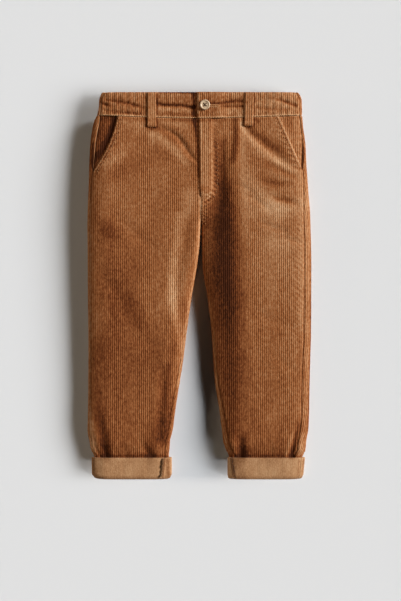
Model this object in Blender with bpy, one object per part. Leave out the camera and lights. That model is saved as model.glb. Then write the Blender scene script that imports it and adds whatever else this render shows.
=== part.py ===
"""Child's corduroy trousers, laid flat and softly filled, cuffs turned up.

Metres, +Z up. The garment lies on its back on z = 0, waist towards +Y, so +X is the wearer's left.
Every cloth piece is a closed wall cut from one shared skin: a flat-bottomed tube for each leg that
opens into one tube at the hips. A wall has a fine ribbed outer net and a coarse plain inner net.
Distances in the tables are in millimetres.
"""

import math

import bmesh
import bpy
import numpy as np

MM = 0.001

# Driving sizes, in millimetres.
WALL = 1.3  # corduroy's ground cloth
WALE_HEIGHT = 0.6  # cord above the ground cloth
WALE_PITCH = 2.86  # from cord to cord, about nine to the inch
GAP = 0.3  # between neighbouring pieces at a seam
BAND_WALL = 2.0  # folded waistband with its interlining
BAND_SEAM_Y = 234.0  # where the waistband joins the panels
WAIST_Y = 267.4  # top edge of the waistband
CUFF_TOP_Y = -237.4  # open edge of the turn-up
CUFF_FOLD_Y = -267.4  # fold at the bottom of the turn-up
LEG_END_Y = -245.0  # leg panels end inside the turn-up
CENTRE_X = 1.7  # centre front and centre back seams
HALF_WALE = 0.5 * WALE_PITCH  # columns of a ribbed net, ridge and valley in turn
GRAIN_P = 75.0  # distance of each leg's grain line from x = 0
SIDE_LEVEL = 0.45  # height of the widest points, as a share of the crown
ROUND_OUTER = 32.0  # width of the top rounding at the side
ROUND_UNDER = 10.0  # width of the rounding under the side
SIDE_FADE = 12.0  # folds fade out over this distance from the side seam
INSEAM_FADE = 8.0  # and over this distance from the inseam
RIB_CLEARANCE = 2.0  # no cords on the back panels lower than this above their underside

# Silhouette seen from above: x of each edge, negative for the wearer's right.
OUTLINE_COLUMNS = ("y", "side_right", "inner_right", "inner_left", "side_left")
OUTLINE = (
    (267.4, -134.2, 1.55, 1.85, 136.3),
    (257.0, -138.5, 1.55, 1.85, 140.5),
    (234.0, -140.4, 1.55, 1.85, 141.6),
    (224.0, -147.0, 1.55, 1.85, 142.0),
    (198.0, -150.8, 1.55, 1.85, 145.9),
    (173.0, -152.1, 1.55, 1.85, 147.3),
    (132.0, -153.5, 1.55, 1.85, 150.1),
    (94.0, -154.7, 1.55, 1.85, 152.9),
    (82.0, -154.9, 1.2, 2.8, 153.3),
    (58.0, -154.9, 1.0, 3.6, 153.9),
    (28.0, -154.9, -1.7, 4.6, 154.2),
    (-15.0, -154.9, -9.4, 11.2, 154.2),
    (-68.0, -154.8, -18.3, 17.6, 154.0),
    (-102.0, -153.5, -23.1, 19.7, 152.8),
    (-137.0, -153.7, -28.6, 22.5, 152.0),
    (-171.0, -154.1, -33.9, 27.9, 151.5),
    (-199.0, -154.9, -37.6, 31.4, 150.1),
    (-216.0, -152.1, -41.5, 33.4, 147.3),
    (-227.0, -150.1, -42.2, 36.9, 146.6),
    (-237.4, -145.2, -43.0, 41.4, 142.0),
    (-245.0, -144.8, -42.6, 42.0, 141.2),
)

# Height of the top skin and of the underside, and how round the inner thigh is.
FORM_COLUMNS = ("y", "crown", "floor", "round_inner", "closed")
FORM = (
    (267.4, 14.8, 3.9, 5.0, 0.0),
    (234.0, 15.2, 3.6, 5.0, 0.0),
    (224.0, 15.7, 2.4, 5.0, 0.0),
    (198.0, 17.0, 0.6, 5.0, 0.0),
    (184.0, 17.6, 0.0, 5.0, 0.0),
    (132.0, 18.2, 0.0, 5.0, 0.0),
    (98.0, 18.2, 0.0, 5.0, 0.0),
    (82.0, 18.2, 0.0, 5.0, 1.0),
    (58.0, 18.0, 0.0, 7.0, 1.0),
    (28.0, 17.8, 0.0, 12.0, 1.0),
    (-15.0, 17.2, 0.0, 22.0, 1.0),
    (-68.0, 16.4, 0.0, 28.0, 1.0),
    (-171.0, 15.0, 0.0, 28.0, 1.0),
    (-216.0, 14.2, 0.3, 26.0, 1.0),
    (-237.4, 11.8, 2.7, 24.0, 1.0),
    (-245.0, 11.6, 2.9, 24.0, 1.0),
)

# How far in from the silhouette each seam lies on the top.
SEAM_COLUMNS = ("y", "side_right", "inseam_right", "inseam_left", "side_left")
SEAMS = (
    (267.4, 3.0, 0.0, 0.0, 3.0),
    (234.0, 4.0, 0.0, 0.0, 3.0),
    (224.0, 7.5, 0.0, 0.0, 2.0),
    (173.0, 6.0, 0.0, 0.0, 5.0),
    (132.0, 4.0, 0.0, 0.0, 6.5),
    (94.0, 3.5, 0.0, 0.0, 9.0),
    (-15.0, 3.0, 0.5, 0.5, 10.0),
    (-171.0, 3.0, 5.5, 5.5, 11.0),
    (-245.0, 3.0, 6.0, 9.0, 12.0),
)

# Fly: the left front laps over the right one. Edge of the lap, edge of the layer under it, and lift.
FLY_COLUMNS = ("y", "lap_edge", "under_edge", "lift")
FLY = (
    (234.0, -3.6, 8.0, 1.9),
    (136.0, -0.4, 8.0, 1.9),
    (129.0, 1.85, 1.55, 1.9),
    (120.0, 1.85, 1.55, 0.0),
)
LAP_FLAT = 13.0  # width of the raised part of the lap
LAP_SLOPE = 9.0  # then it sinks back to the skin over this width
ZIP_ROWS = (230.0, 224.0, 198.0, 173.0, 150.0, 140.0)
ZIP_FROM_X, ZIP_TO_X = -9.0, 13.0
ZIP_WALL = 1.2

# Slant pocket mouths: x where each meets the waistband and the side seam.
POCKET_COLUMNS = ("side", "top_x", "top_y", "low_x", "low_y")
POCKETS = {
    -1: dict(zip(POCKET_COLUMNS, ("right", -112.1, 235.7, -149.4, 153.0))),
    1: dict(zip(POCKET_COLUMNS, ("left", 104.5, 235.7, 141.8, 161.2))),
}
FACING_UNDER = 8.0  # facing hidden under the front
FACING_DEPTH = 2.5  # facing below the front's skin
FACING_LOW_Y = 158.0

# Largest folds: a soft trough (depth > 0) or ridge (depth < 0) along each line.
FOLD_COLUMNS = ("x0", "y0", "x1", "y1", "depth", "width")
FOLDS = (
    (-36.0, 208.0, -10.0, 186.0, 1.2, 6.0),
    (-20.0, 178.0, -3.0, 168.0, -0.8, 5.0),
    (-118.0, 96.0, -40.0, 30.0, 1.0, 11.0),
    (-26.0, 100.0, -24.0, 0.0, -1.0, 8.0),
    (-10.0, 96.0, -14.0, 4.0, 1.2, 6.0),
    (-140.0, 60.0, -96.0, 20.0, 0.8, 9.0),
    (-110.0, -60.0, -60.0, -80.0, 0.8, 9.0),
    (-135.0, -192.0, -127.0, -236.0, 1.8, 5.0),
    (-144.0, -213.0, -134.0, -236.0, -1.0, 5.0),
    (-52.0, -164.0, -50.0, -222.0, 1.2, 5.0),
    (28.0, 228.0, 44.0, 120.0, 2.0, 8.0),
    (40.0, 110.0, 34.0, -60.0, 1.0, 11.0),
    (62.0, 226.0, 128.0, 160.0, -1.4, 7.0),
    (82.0, 224.0, 138.0, 172.0, 1.2, 6.0),
    (92.0, 122.0, 134.0, 112.0, 0.9, 6.0),
    (98.0, 84.0, 140.0, 68.0, 0.7, 7.0),
    (60.0, -40.0, 120.0, -62.0, 0.7, 9.0),
    (58.0, -208.0, 62.0, -236.0, 1.6, 5.0),
    (140.0, -192.0, 127.0, -236.0, 1.6, 5.0),
)
BAND_CREASE = (251.0, 0.8, 4.0)  # y, depth and width of the crease along the waistband
SEAM_DIP = 2.6  # the waistband seam hangs lower at the fly than at the sides
SEAM_DIP_REACH = 30.0  # rows nearer than this bend with it
SEAM_DIP_HALF = 140.0  # distance from the fly to the sides
SEAM_DIP_SHIFT = 0.6  # share of the dip that lies below BAND_SEAM_Y

# Waistband: its left end laps over its right end, which carries the button.
BAND_LAP_X = -3.8
BAND_UNDER_X = 20.0
BAND_LIFT_FLAT_X = 24.0  # the lap is raised up to here
BAND_LIFT_SLOPE = 20.0  # then it sinks over this width
BAND_EDGE_ROUND = 0.6  # softness of the top edge

# Elastic gathers in the waistband.
GATHER_PITCH = 10.0
GATHER_HEIGHT = 0.7
GATHER_FRONT_P = (72.0, 92.0)  # gathers grow between these distances from the centre front
GATHER_FRONT_SHARE = 0.7  # height of the front gathers against the back ones

# Turn-ups: silhouette, seams at the open edge and at the fold, in from the silhouette.
CUFF_COLUMNS = ("outer", "outer_fold", "inner", "side_seam", "inseam_top", "inseam_fold")
CUFFS = {
    -1: dict(zip(CUFF_COLUMNS, (148.7, 148.5, 38.4, 3.0, 9.7, 12.5))),
    1: dict(zip(CUFF_COLUMNS, (146.2, 143.4, 38.6, 5.5, 4.4, 10.8))),
}
CUFF_CROWN = 14.6
CUFF_CORNER = 6.0  # radius of the corners at the fold
CUFF_LAYER = 1.5
CUFF_SLIT = 1.4  # between the turn-up and the leg inside it
CUFF_ROUND = 24.0
ALLOWANCE_WIDTH = 5.4
ALLOWANCE_WALL = 1.0

# Belt loops.
LOOP_WIDTH = 12.0
LOOP_THICK = 1.5
LOOP_SOFT = 0.4  # bevel of its edges
LOOP_CORDS = 4
LOOP_CORD_HEIGHT = 0.4
LOOP_COLUMNS = ("name", "x", "lean", "end_y")
FRONT_LOOPS = (
    ("belt_loop_front_right", -65.9, 0.0, 219.2),
    ("belt_loop_front_left", 68.4, -1.2, 221.0),
)
BACK_LOOPS = (
    ("belt_loop_side_right", -92.0, 0.0, 220.0),
    ("belt_loop_back", CENTRE_X, 0.0, 220.0),
    ("belt_loop_side_left", 95.4, 0.0, 220.0),
)

# Button.
BUTTON_AT = (7.4, 250.4)
BUTTON_DIAMETER = 13.4
BUTTON_THICK = 2.6
BUTTON_RIM = 1.9
BUTTON_DISH = 0.7
BUTTON_HOLE = 1.9
BUTTON_HOLE_SPACING = 3.6

# Rows of the panels, from the waistband seam to the hem.
FRONT_ROWS = (234.0, 224.0, 198.0, 173.0, 136.0, 129.0, 120.0, 98.0, 82.0, 58.0, 28.0, -15.0,
              -68.0, -120.0, -165.0, -205.0, -221.0, -237.4, -245.0)
BACK_ROWS = (234.0, 224.0, 198.0, 173.0, 136.0, 98.0, 82.0, 58.0, 28.0, -15.0,
             -68.0, -120.0, -165.0, -205.0, -221.0, -237.4, -245.0)
BAND_ROWS = (234.0, 245.0, 251.0, 257.0, 267.4)

COLOURS = {
    "corduroy": ((0.300, 0.130, 0.050, 1.0), 0.95),
    "corduroy_dark": ((0.190, 0.070, 0.028, 1.0), 0.95),
    "wrong_side": ((0.420, 0.240, 0.120, 1.0), 0.95),
    "tape": ((0.300, 0.150, 0.070, 1.0), 0.85),
    "button": ((0.560, 0.430, 0.300, 1.0), 0.40),
}

FIRST = -1.0e9
LAST = 1.0e9
PAST = 2.0e9


def material(name):
    """One finish, made once."""
    found = bpy.data.materials.get(name)
    if found:
        return found
    colour, rough = COLOURS[name]
    made = bpy.data.materials.new(name)
    made.use_nodes = True
    shader = made.node_tree.nodes["Principled BSDF"]
    shader.inputs["Base Color"].default_value = colour
    shader.inputs["Roughness"].default_value = rough
    shader.inputs["Metallic"].default_value = 0.0
    return made


def smooth(t):
    """Smooth step from 0 to 1."""
    t = np.clip(t, 0.0, 1.0)
    return t * t * (3.0 - 2.0 * t)


def read(table, columns, column, y):
    """A table's column, read at y in a straight line between its rows."""
    place = columns.index(column)
    heights = [row[0] for row in reversed(table)]
    values = [row[place] for row in reversed(table)]
    return float(np.interp(y, heights, values))


def side_name(side):
    return "right" if side < 0 else "left"


def section(side, y):
    """Sizes of one leg's section at y. p is the distance from x = 0 towards that side."""
    name = side_name(side)
    crown = read(FORM, FORM_COLUMNS, "crown", y)
    floor = read(FORM, FORM_COLUMNS, "floor", y)
    return {
        "outer": side * read(OUTLINE, OUTLINE_COLUMNS, "side_" + name, y),
        "inner": side * read(OUTLINE, OUTLINE_COLUMNS, "inner_" + name, y),
        "side_seam": read(SEAMS, SEAM_COLUMNS, "side_" + name, y),
        "inseam": read(SEAMS, SEAM_COLUMNS, "inseam_" + name, y),
        "crown": crown,
        "floor": floor,
        "level": floor + SIDE_LEVEL * (crown - floor),
        "round_outer": ROUND_OUTER,
        "round_inner": read(FORM, FORM_COLUMNS, "round_inner", y),
        "closed": read(FORM, FORM_COLUMNS, "closed", y),
    }


def cuff_section(side, y):
    """Sizes of one turn-up's section at y, with round corners at the fold."""
    cuff = CUFFS[side]
    share = (CUFF_TOP_Y - y) / (CUFF_TOP_Y - CUFF_FOLD_Y)
    past = max(0.0, CUFF_FOLD_Y + CUFF_CORNER - y)
    corner = CUFF_CORNER - math.sqrt(max(0.0, CUFF_CORNER ** 2 - past ** 2))
    return {
        "outer": cuff["outer"] + share * (cuff["outer_fold"] - cuff["outer"]) - corner,
        "inner": cuff["inner"] + 0.6 * corner,
        "side_seam": cuff["side_seam"],
        "inseam": cuff["inseam_top"] + share * (cuff["inseam_fold"] - cuff["inseam_top"]),
        "crown": CUFF_CROWN,
        "floor": 0.0,
        "level": SIDE_LEVEL * CUFF_CROWN,
        "round_outer": CUFF_ROUND,
        "round_inner": CUFF_ROUND,
        "closed": 1.0,
    }


def fold_relief(x, y):
    """How far the folds push the top skin down at x, y."""
    total = np.zeros_like(x)
    for row in FOLDS:
        fold = dict(zip(FOLD_COLUMNS, row))
        along = np.array((fold["x1"] - fold["x0"], fold["y1"] - fold["y0"]))
        length = float(np.hypot(*along))
        unit = along / length
        run = (x - fold["x0"]) * unit[0] + (y - fold["y0"]) * unit[1]
        off = (x - fold["x0"]) * unit[1] - (y - fold["y0"]) * unit[0]
        share = np.clip(run / length, 0.0, 1.0)
        past = run - share * length
        taper = 0.35 + 0.65 * np.sin(math.pi * share)
        spread = (off ** 2 + past ** 2) / fold["width"] ** 2
        total += fold["depth"] * taper * np.exp(-spread)
    crease_y, crease_depth, crease_width = BAND_CREASE
    total += crease_depth * math.exp(-((y - crease_y) / crease_width) ** 2)
    return total


class Run:
    """A curve across the garment at one y: arc length s, distance p, height z and outward normal."""

    def __init__(self, p, z, s, out):
        self.p, self.z, self.s = p, z, s
        slope_p, slope_z = np.gradient(p), np.gradient(z)
        size = np.hypot(slope_p, slope_z)
        self.normal_p = -out * slope_z / size
        self.normal_z = out * slope_p / size

    def at(self, s, away=0.0):
        """(p, z) at arc length s, moved outwards along the normal."""
        p = np.interp(s, self.s, self.p)
        z = np.interp(s, self.s, self.z)
        normal_p = np.interp(s, self.s, self.normal_p)
        normal_z = np.interp(s, self.s, self.normal_z)
        return p + away * normal_p, z + away * normal_z

    def s_at(self, p):
        """Arc length where the curve passes p, on a stretch that never turns back."""
        order = np.argsort(self.p)
        return float(np.interp(p, self.p[order], self.s[order]))


def joined(parts_p, parts_z):
    """Stretches of a curve end to end, without the points that repeat."""
    p, z = np.concatenate(parts_p), np.concatenate(parts_z)
    step = np.hypot(np.diff(p, prepend=p[0] - 1.0), np.diff(z, prepend=z[0]))
    return p[step > 1.0e-4], z[step > 1.0e-4]


def arc_length(p, z, zero_p):
    """Arc length along a curve, zero where it passes zero_p."""
    steps = np.hypot(np.diff(p), np.diff(z))
    s = np.concatenate(((0.0,), np.cumsum(steps)))
    order = np.argsort(p)
    return s - np.interp(zero_p, p[order], s[order])


def fly_lift(x, y):
    """How far the fly's lap stands above the skin."""
    edge = read(FLY, FLY_COLUMNS, "lap_edge", y)
    lift = read(FLY, FLY_COLUMNS, "lift", y)
    return lift * (1.0 - smooth((x - edge - LAP_FLAT) / LAP_SLOPE))


def top_run(side, y, sizes, lift=None, reach=0.0):
    """The top skin of one half, from its inner edge to its widest point.

    reach carries a half past the centre front, for the layer under the lap. The folds fade out
    towards the seams, and a turn-up has none.
    """
    end = 0.5 * math.pi * (1.0 - sizes["closed"])
    turn = np.linspace(end, 0.5 * math.pi, 24)
    inner_p = sizes["inner"] + sizes["round_inner"] * (math.cos(end) - np.cos(turn))
    inner_z = sizes["level"] + (sizes["crown"] - sizes["level"]) * np.sin(turn)
    turn = np.linspace(0.5 * math.pi, 0.0, 40)
    outer_p = sizes["outer"] - sizes["round_outer"] * (1.0 - np.cos(turn))
    outer_z = sizes["level"] + (sizes["crown"] - sizes["level"]) * np.sin(turn)
    middle_p = np.linspace(inner_p[-1], outer_p[0], 60)[1:-1]
    middle_z = np.full_like(middle_p, sizes["crown"])
    if sizes["closed"] == 0.0:
        inner_p = np.linspace(sizes["inner"] - reach, sizes["inner"], 24)
        inner_z = np.full_like(inner_p, sizes["crown"])
    p, z = joined((inner_p, middle_p, outer_p), (inner_z, middle_z, outer_z))
    s = arc_length(p, z, GRAIN_P)
    if y > CUFF_TOP_Y:
        fade = smooth((sizes["outer"] - sizes["side_seam"] - p) / SIDE_FADE)
        if sizes["closed"] > 0.0:
            inseam = sizes["inner"] + sizes["inseam"]
            fade = fade * smooth((p - inseam) / INSEAM_FADE + 1.0 - sizes["closed"])
        z = z - fade * fold_relief(side * p, y)
    if lift is not None:
        z = z + lift(side * p, y)
    return Run(p, z, s, 1.0)


def under_run(y, sizes):
    """The back's skin, from the inseam or centre back, under the garment and up to the side seam."""
    crown, floor, level = sizes["crown"], sizes["floor"], sizes["level"]
    end = 0.5 * math.pi * (1.0 - sizes["closed"])
    under = min(ROUND_UNDER, 5.0 + 0.25 * sizes["round_inner"])
    turn = np.linspace(end, 0.5 * math.pi, 24)
    inner_p = sizes["inner"] + under * (math.cos(end) - np.cos(turn))
    inner_z = level - (level - floor) * np.sin(turn)
    if sizes["closed"] == 0.0:
        inner_p = np.linspace(sizes["inner"], sizes["inner"] + 4.0, 6)
        inner_z = np.full_like(inner_p, floor)
    turn = np.linspace(0.5 * math.pi, 0.0, 24)
    outer_p = sizes["outer"] - ROUND_UNDER * (1.0 - np.cos(turn))
    outer_z = level - (level - floor) * np.sin(turn)
    middle_p = np.linspace(inner_p[-1], outer_p[0], 60)[1:-1]
    middle_z = np.full_like(middle_p, floor)
    p, z = joined((inner_p, middle_p, outer_p), (inner_z, middle_z, outer_z))
    zero = arc_length(p, z, GRAIN_P)[0]
    over = math.acos(1.0 - sizes["side_seam"] / sizes["round_outer"])
    turn = np.linspace(0.0, over, 16)[1:]
    p = np.concatenate((p, sizes["outer"] - sizes["round_outer"] * (1.0 - np.cos(turn))))
    z = np.concatenate((z, level + (crown - level) * np.sin(turn)))
    if sizes["inseam"] > 0.0 and sizes["closed"] == 1.0:
        over = math.acos(1.0 - sizes["inseam"] / sizes["round_inner"])
        turn = np.linspace(over, 0.0, 12)[:-1]
        extra_p = sizes["inner"] + sizes["round_inner"] * (1.0 - np.cos(turn))
        extra_z = level + (crown - level) * np.sin(turn)
        p = np.concatenate((extra_p, p))
        z = np.concatenate((extra_z, z))
        zero -= float(np.sum(np.hypot(np.diff(extra_p), np.diff(extra_z))))
        zero -= float(np.hypot(p[len(extra_p)] - extra_p[-1], z[len(extra_p)] - extra_z[-1]))
    steps = np.hypot(np.diff(p), np.diff(z))
    s = np.concatenate(((0.0,), np.cumsum(steps))) + zero
    return Run(p, z, s, -1.0)


def warp(x, y):
    """Bend the rows near the waistband seam, which hangs lowest at the fly."""
    near = smooth(1.0 - abs(y - BAND_SEAM_Y) / SEAM_DIP_REACH)
    share = min(1.0, abs(x) / SEAM_DIP_HALF)
    return y + near * SEAM_DIP * (share ** 1.5 - SEAM_DIP_SHIFT)


def stitch(a, b):
    """Triangles between two runs of (key, vertex) whose first and last keys agree."""
    faces = []
    i = j = 0
    while i < len(a) - 1 or j < len(b) - 1:
        next_a = a[i + 1][0] if i < len(a) - 1 else PAST
        next_b = b[j + 1][0] if j < len(b) - 1 else PAST
        if abs(next_a - next_b) < 1.0e-6:
            faces.append((a[i][1], b[j][1], b[j + 1][1]))
            faces.append((a[i][1], b[j + 1][1], a[i + 1][1]))
            i += 1
            j += 1
        elif next_a < next_b:
            faces.append((a[i][1], b[j][1], a[i + 1][1]))
            i += 1
        else:
            faces.append((a[i][1], b[j][1], b[j + 1][1]))
            j += 1
    return faces


def finish(bm, name, finish_name, flat=False):
    """Turn a closed mesh into a named object."""
    bmesh.ops.recalc_face_normals(bm, faces=bm.faces)
    mesh = bpy.data.meshes.new(name)
    bm.to_mesh(mesh)
    bm.free()
    mesh.materials.append(material(finish_name))
    if not flat:
        mesh.shade_smooth()
        mesh.set_sharp_from_angle(angle=math.radians(50.0))
    made = bpy.data.objects.new(name, mesh)
    bpy.context.collection.objects.link(made)
    return made


def wall(name, finish_name, rows):
    """A closed wall from rows of (outer net, inner net), each net a list of (key, point)."""
    bm = bmesh.new()
    nets = []
    for outer, inner in rows:
        nets.append([
            [(key, bm.verts.new([MM * value for value in point])) for key, point in net]
            for net in (outer, inner)
        ])
    faces = []
    for (outer, inner), (next_outer, next_inner) in zip(nets, nets[1:]):
        faces += stitch(outer, next_outer)
        faces += stitch(next_inner, inner)
        for end in (0, -1):
            faces.append((outer[end][1], inner[end][1], next_outer[end][1]))
            faces.append((inner[end][1], next_inner[end][1], next_outer[end][1]))
    for outer, inner in (nets[0], nets[-1]):
        faces += stitch(outer, inner)
    for face in faces:
        bm.faces.new(face)
    return finish(bm, name, finish_name)


def columns_between(start, stop, step, keep=None):
    """Fixed columns, multiples of step, that lie clear of both ends."""
    clear = 0.3 * step
    first = math.ceil((start + clear) / step)
    last = math.floor((stop - clear) / step)
    places = [(k, k * step) for k in range(first, last + 1)]
    return [place for place in places if keep is None or keep(*place)]


def cloth_row(side, y, run, start, stop, ribs, plain, thick, depth=0.0, away=None):
    """One row of a wall: ribbed outer net, plain inner net.

    ribs and plain list (k, s) columns. away moves both nets outwards, for gathers.
    """
    def point(s, out):
        extra = away(s) if away else 0.0
        p, z = run.at(s, out + extra - depth)
        return side * p, warp(side * p, y), z

    outer = [(FIRST, point(start, 0.0))]
    for k, s in ribs:
        outer.append((s, point(s, WALE_HEIGHT if k % 2 else 0.0)))
    outer.append((LAST, point(stop, 0.0)))
    inner = [(FIRST, point(start, -thick))]
    for _, s in plain:
        inner.append((s, point(s, -thick)))
    inner.append((LAST, point(stop, -thick)))
    return outer, inner


def inner_columns(run, start, stop):
    """Plain net columns: wide on the flat, close where the skin bends."""
    def keep(k, s):
        steep = abs(float(np.interp(s, run.s, run.normal_z))) < 0.97
        return k % 16 == 0 or (steep and k % 4 == 0)
    return columns_between(start, stop, HALF_WALE, keep)


def pocket_edge(side, y):
    """p of the pocket mouth at y."""
    mouth = POCKETS[side]
    share = (mouth["top_y"] - y) / (mouth["top_y"] - mouth["low_y"])
    return side * (mouth["top_x"] + share * (mouth["low_x"] - mouth["top_x"]))


def front_edges(side, y, run, sizes):
    """Arc length of a front's inner and outer edges."""
    if sizes["closed"] < 1.0:
        start = run.s[0] + 0.5 * GAP
        if side > 0 and sizes["closed"] == 0.0:
            edge = read(FLY, FLY_COLUMNS, "lap_edge", y)
            start = run.s_at(edge)
    else:
        start = run.s_at(sizes["inner"] + sizes["inseam"]) + 0.5 * GAP
    seam = run.s_at(sizes["outer"] - sizes["side_seam"]) - 0.5 * GAP
    return start, min(seam, run.s_at(pocket_edge(side, y)))


def front(side):
    """A front panel, cut away at the pocket mouth."""
    rows = []
    for row_y in FRONT_ROWS:
        y = row_y - (0.5 * GAP if row_y == FRONT_ROWS[0] else 0.0)
        sizes = section(side, y)
        if side < 0:
            reach = read(FLY, FLY_COLUMNS, "under_edge", y) - 1.55
            run = top_run(side, y, sizes, reach=reach if sizes["closed"] == 0.0 else 0.0)
        else:
            reach = sizes["inner"] - read(FLY, FLY_COLUMNS, "lap_edge", y)
            run = top_run(side, y, sizes, fly_lift, reach if sizes["closed"] == 0.0 else 0.0)
        start, stop = front_edges(side, y, run, sizes)
        ribs = columns_between(start, stop, HALF_WALE)
        if side < 0:
            hidden = run.s_at(-read(FLY, FLY_COLUMNS, "lap_edge", y) + 0.5)
            ribs = [(k if s > hidden else 0, s) for k, s in ribs if s > hidden or k % 4 == 0]
        plain = inner_columns(run, start, stop)
        rows.append(cloth_row(side, y, run, start, stop, ribs, plain, WALL))
    wall("front_" + side_name(side), "corduroy", rows)


def back(side):
    """A back panel: flat below, wrapped round the side and the inseam."""
    rows = []
    for row_y in BACK_ROWS:
        y = row_y - (0.5 * GAP if row_y == BACK_ROWS[0] else 0.0)
        sizes = section(side, y)
        run = under_run(y, sizes)
        start, stop = run.s[0] + 0.5 * GAP, run.s[-1] - 0.5 * GAP

        ribs = []
        for k, s in columns_between(start, stop, HALF_WALE):
            above = float(np.interp(s, run.s, run.z)) - sizes["floor"]
            if above > RIB_CLEARANCE:
                ribs.append((k, s))
            elif k % 8 == 0:
                ribs.append((0, s))
        plain = inner_columns(run, start, stop)
        rows.append(cloth_row(side, y, run, start, stop, ribs, plain, WALL))
    wall("back_" + side_name(side), "corduroy", rows)


def pocket_facing(side):
    """The facing that shows behind a slant mouth."""
    heights = [y for y in FRONT_ROWS if y > FACING_LOW_Y] + [FACING_LOW_Y]
    rows = []
    for row_y in heights:
        y = row_y - (0.5 * GAP if row_y == heights[0] else 0.0)
        sizes = section(side, y)
        run = top_run(side, y, sizes)
        mouth = pocket_edge(side, y)
        seam = run.s_at(sizes["outer"] - sizes["side_seam"]) - 0.5 * GAP
        start = run.s_at(mouth - FACING_UNDER)
        ribs = columns_between(start, seam, HALF_WALE)
        plain = columns_between(start, seam, HALF_WALE, lambda k, s: k % 4 == 0)
        rows.append(cloth_row(side, y, run, start, seam, ribs, plain, WALL, FACING_DEPTH))
    wall("pocket_facing_" + side_name(side), "corduroy_dark", rows)


def fly_zip():
    """Closed zip tapes under the fly, plain because the lap hides them."""
    rows = []
    for y in ZIP_ROWS:
        run = top_run(-1, y, section(-1, y), reach=ZIP_TO_X + 1.0)
        start, stop = run.s_at(-ZIP_TO_X), run.s_at(-ZIP_FROM_X)
        places = columns_between(start, stop, 4.0 * HALF_WALE)
        plain = [(0, s) for _, s in places]
        depth = WALL + GAP + 0.1
        rows.append(cloth_row(-1, y, run, start, stop, plain, plain, ZIP_WALL, depth))
    wall("fly_zip", "tape", rows)


def gather(strength, s):
    """Ripple of the elastic casing at arc length s."""
    return strength * GATHER_HEIGHT * math.cos(2.0 * math.pi * s / GATHER_PITCH)


def band_lift(x, y):
    """How far the buttonhole end of the waistband stands above the button end."""
    sunk = smooth((x - BAND_LIFT_FLAT_X) / BAND_LIFT_SLOPE)
    return (BAND_WALL + GAP + 0.2) * (1.0 - sunk)


def band_front(side):
    """A front waistband. The left one laps over the right one and takes the button."""
    rows = []
    for row_y in BAND_ROWS:
        y = row_y + (0.5 * GAP if row_y == BAND_ROWS[0] else 0.0)
        sizes = section(side, y)
        if side < 0:
            run = top_run(side, y, sizes, reach=BAND_UNDER_X)
            start = run.s_at(-BAND_UNDER_X)
        else:
            run = top_run(side, y, sizes, band_lift, sizes["inner"] - BAND_LAP_X)
            start = run.s_at(BAND_LAP_X)
        stop = run.s_at(sizes["outer"] - sizes["side_seam"]) - 0.5 * GAP
        grow = [run.s_at(p) for p in GATHER_FRONT_P]
        round_edge = BAND_EDGE_ROUND if row_y == WAIST_Y else 0.0

        def away(s, grow=grow, round_edge=round_edge):
            strength = float(smooth((s - grow[0]) / (grow[1] - grow[0])))
            return gather(GATHER_FRONT_SHARE * strength, s) - round_edge

        ribs = columns_between(start, stop, HALF_WALE)
        if side < 0:
            hidden = run.s_at(-BAND_LAP_X + 0.7)
            ribs = [(k if s > hidden else 0, s) for k, s in ribs if s > hidden or k % 4 == 0]
        plain = columns_between(start, stop, HALF_WALE, lambda k, s: k % 4 == 0)
        thick = BAND_WALL - 2.0 * round_edge
        rows.append(cloth_row(side, y, run, start, stop, ribs, plain, thick, 0.0, away))
    wall("waistband_" + side_name(side), "corduroy", rows)


def band_back():
    """The elastic back waistband, one strip round both sides."""
    rows = []
    step = 0.5 * GATHER_PITCH
    for row_y in BAND_ROWS:
        y = row_y + (0.5 * GAP if row_y == BAND_ROWS[0] else 0.0)
        outer, inner = [], []
        for side in (-1, 1):
            run = under_run(y, section(side, y))
            stop = run.s[-1] - 0.5 * GAP
            places = [(k, s + run.s[0]) for k, s in columns_between(0.0, stop - run.s[0], step)]
            for net, out in ((outer, 0.0), (inner, -BAND_WALL)):
                part = []
                for k, s in places:
                    p, z = run.at(s, out + gather(1.0, s - run.s[0]))
                    part.append((side * k, (side * p, warp(side * p, y), z)))
                p, z = run.at(stop, out)
                part.append((LAST * side, (side * p, warp(side * p, y), z)))
                net.extend(reversed(part) if side < 0 else part)
        rows.append((outer, inner))
    wall("waistband_back", "corduroy", rows)


def cuff_profile():
    """The turn-up along its length: (outer y, outer depth, inner y, inner depth), top to inside."""
    inside = CUFF_LAYER + CUFF_SLIT
    total = inside + WALL
    middle = 0.5 * total
    slit_y = CUFF_FOLD_Y + 3.2
    inner_top = LEG_END_Y - GAP
    return (
        (CUFF_TOP_Y, 0.2, CUFF_TOP_Y, CUFF_LAYER),
        (CUFF_TOP_Y - 1.0, 0.0, CUFF_TOP_Y - 1.0, CUFF_LAYER),
        (CUFF_FOLD_Y + CUFF_CORNER, 0.0, CUFF_FOLD_Y + CUFF_CORNER, CUFF_LAYER),
        (CUFF_FOLD_Y + 1.0, 0.15 * total, slit_y, CUFF_LAYER),
        (CUFF_FOLD_Y, middle, slit_y - 0.8, middle),
        (CUFF_FOLD_Y + 1.0, 0.85 * total, slit_y, inside),
        (CUFF_FOLD_Y + CUFF_CORNER, total, CUFF_FOLD_Y + CUFF_CORNER, inside),
        (inner_top, total, inner_top, inside),
    )


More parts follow.
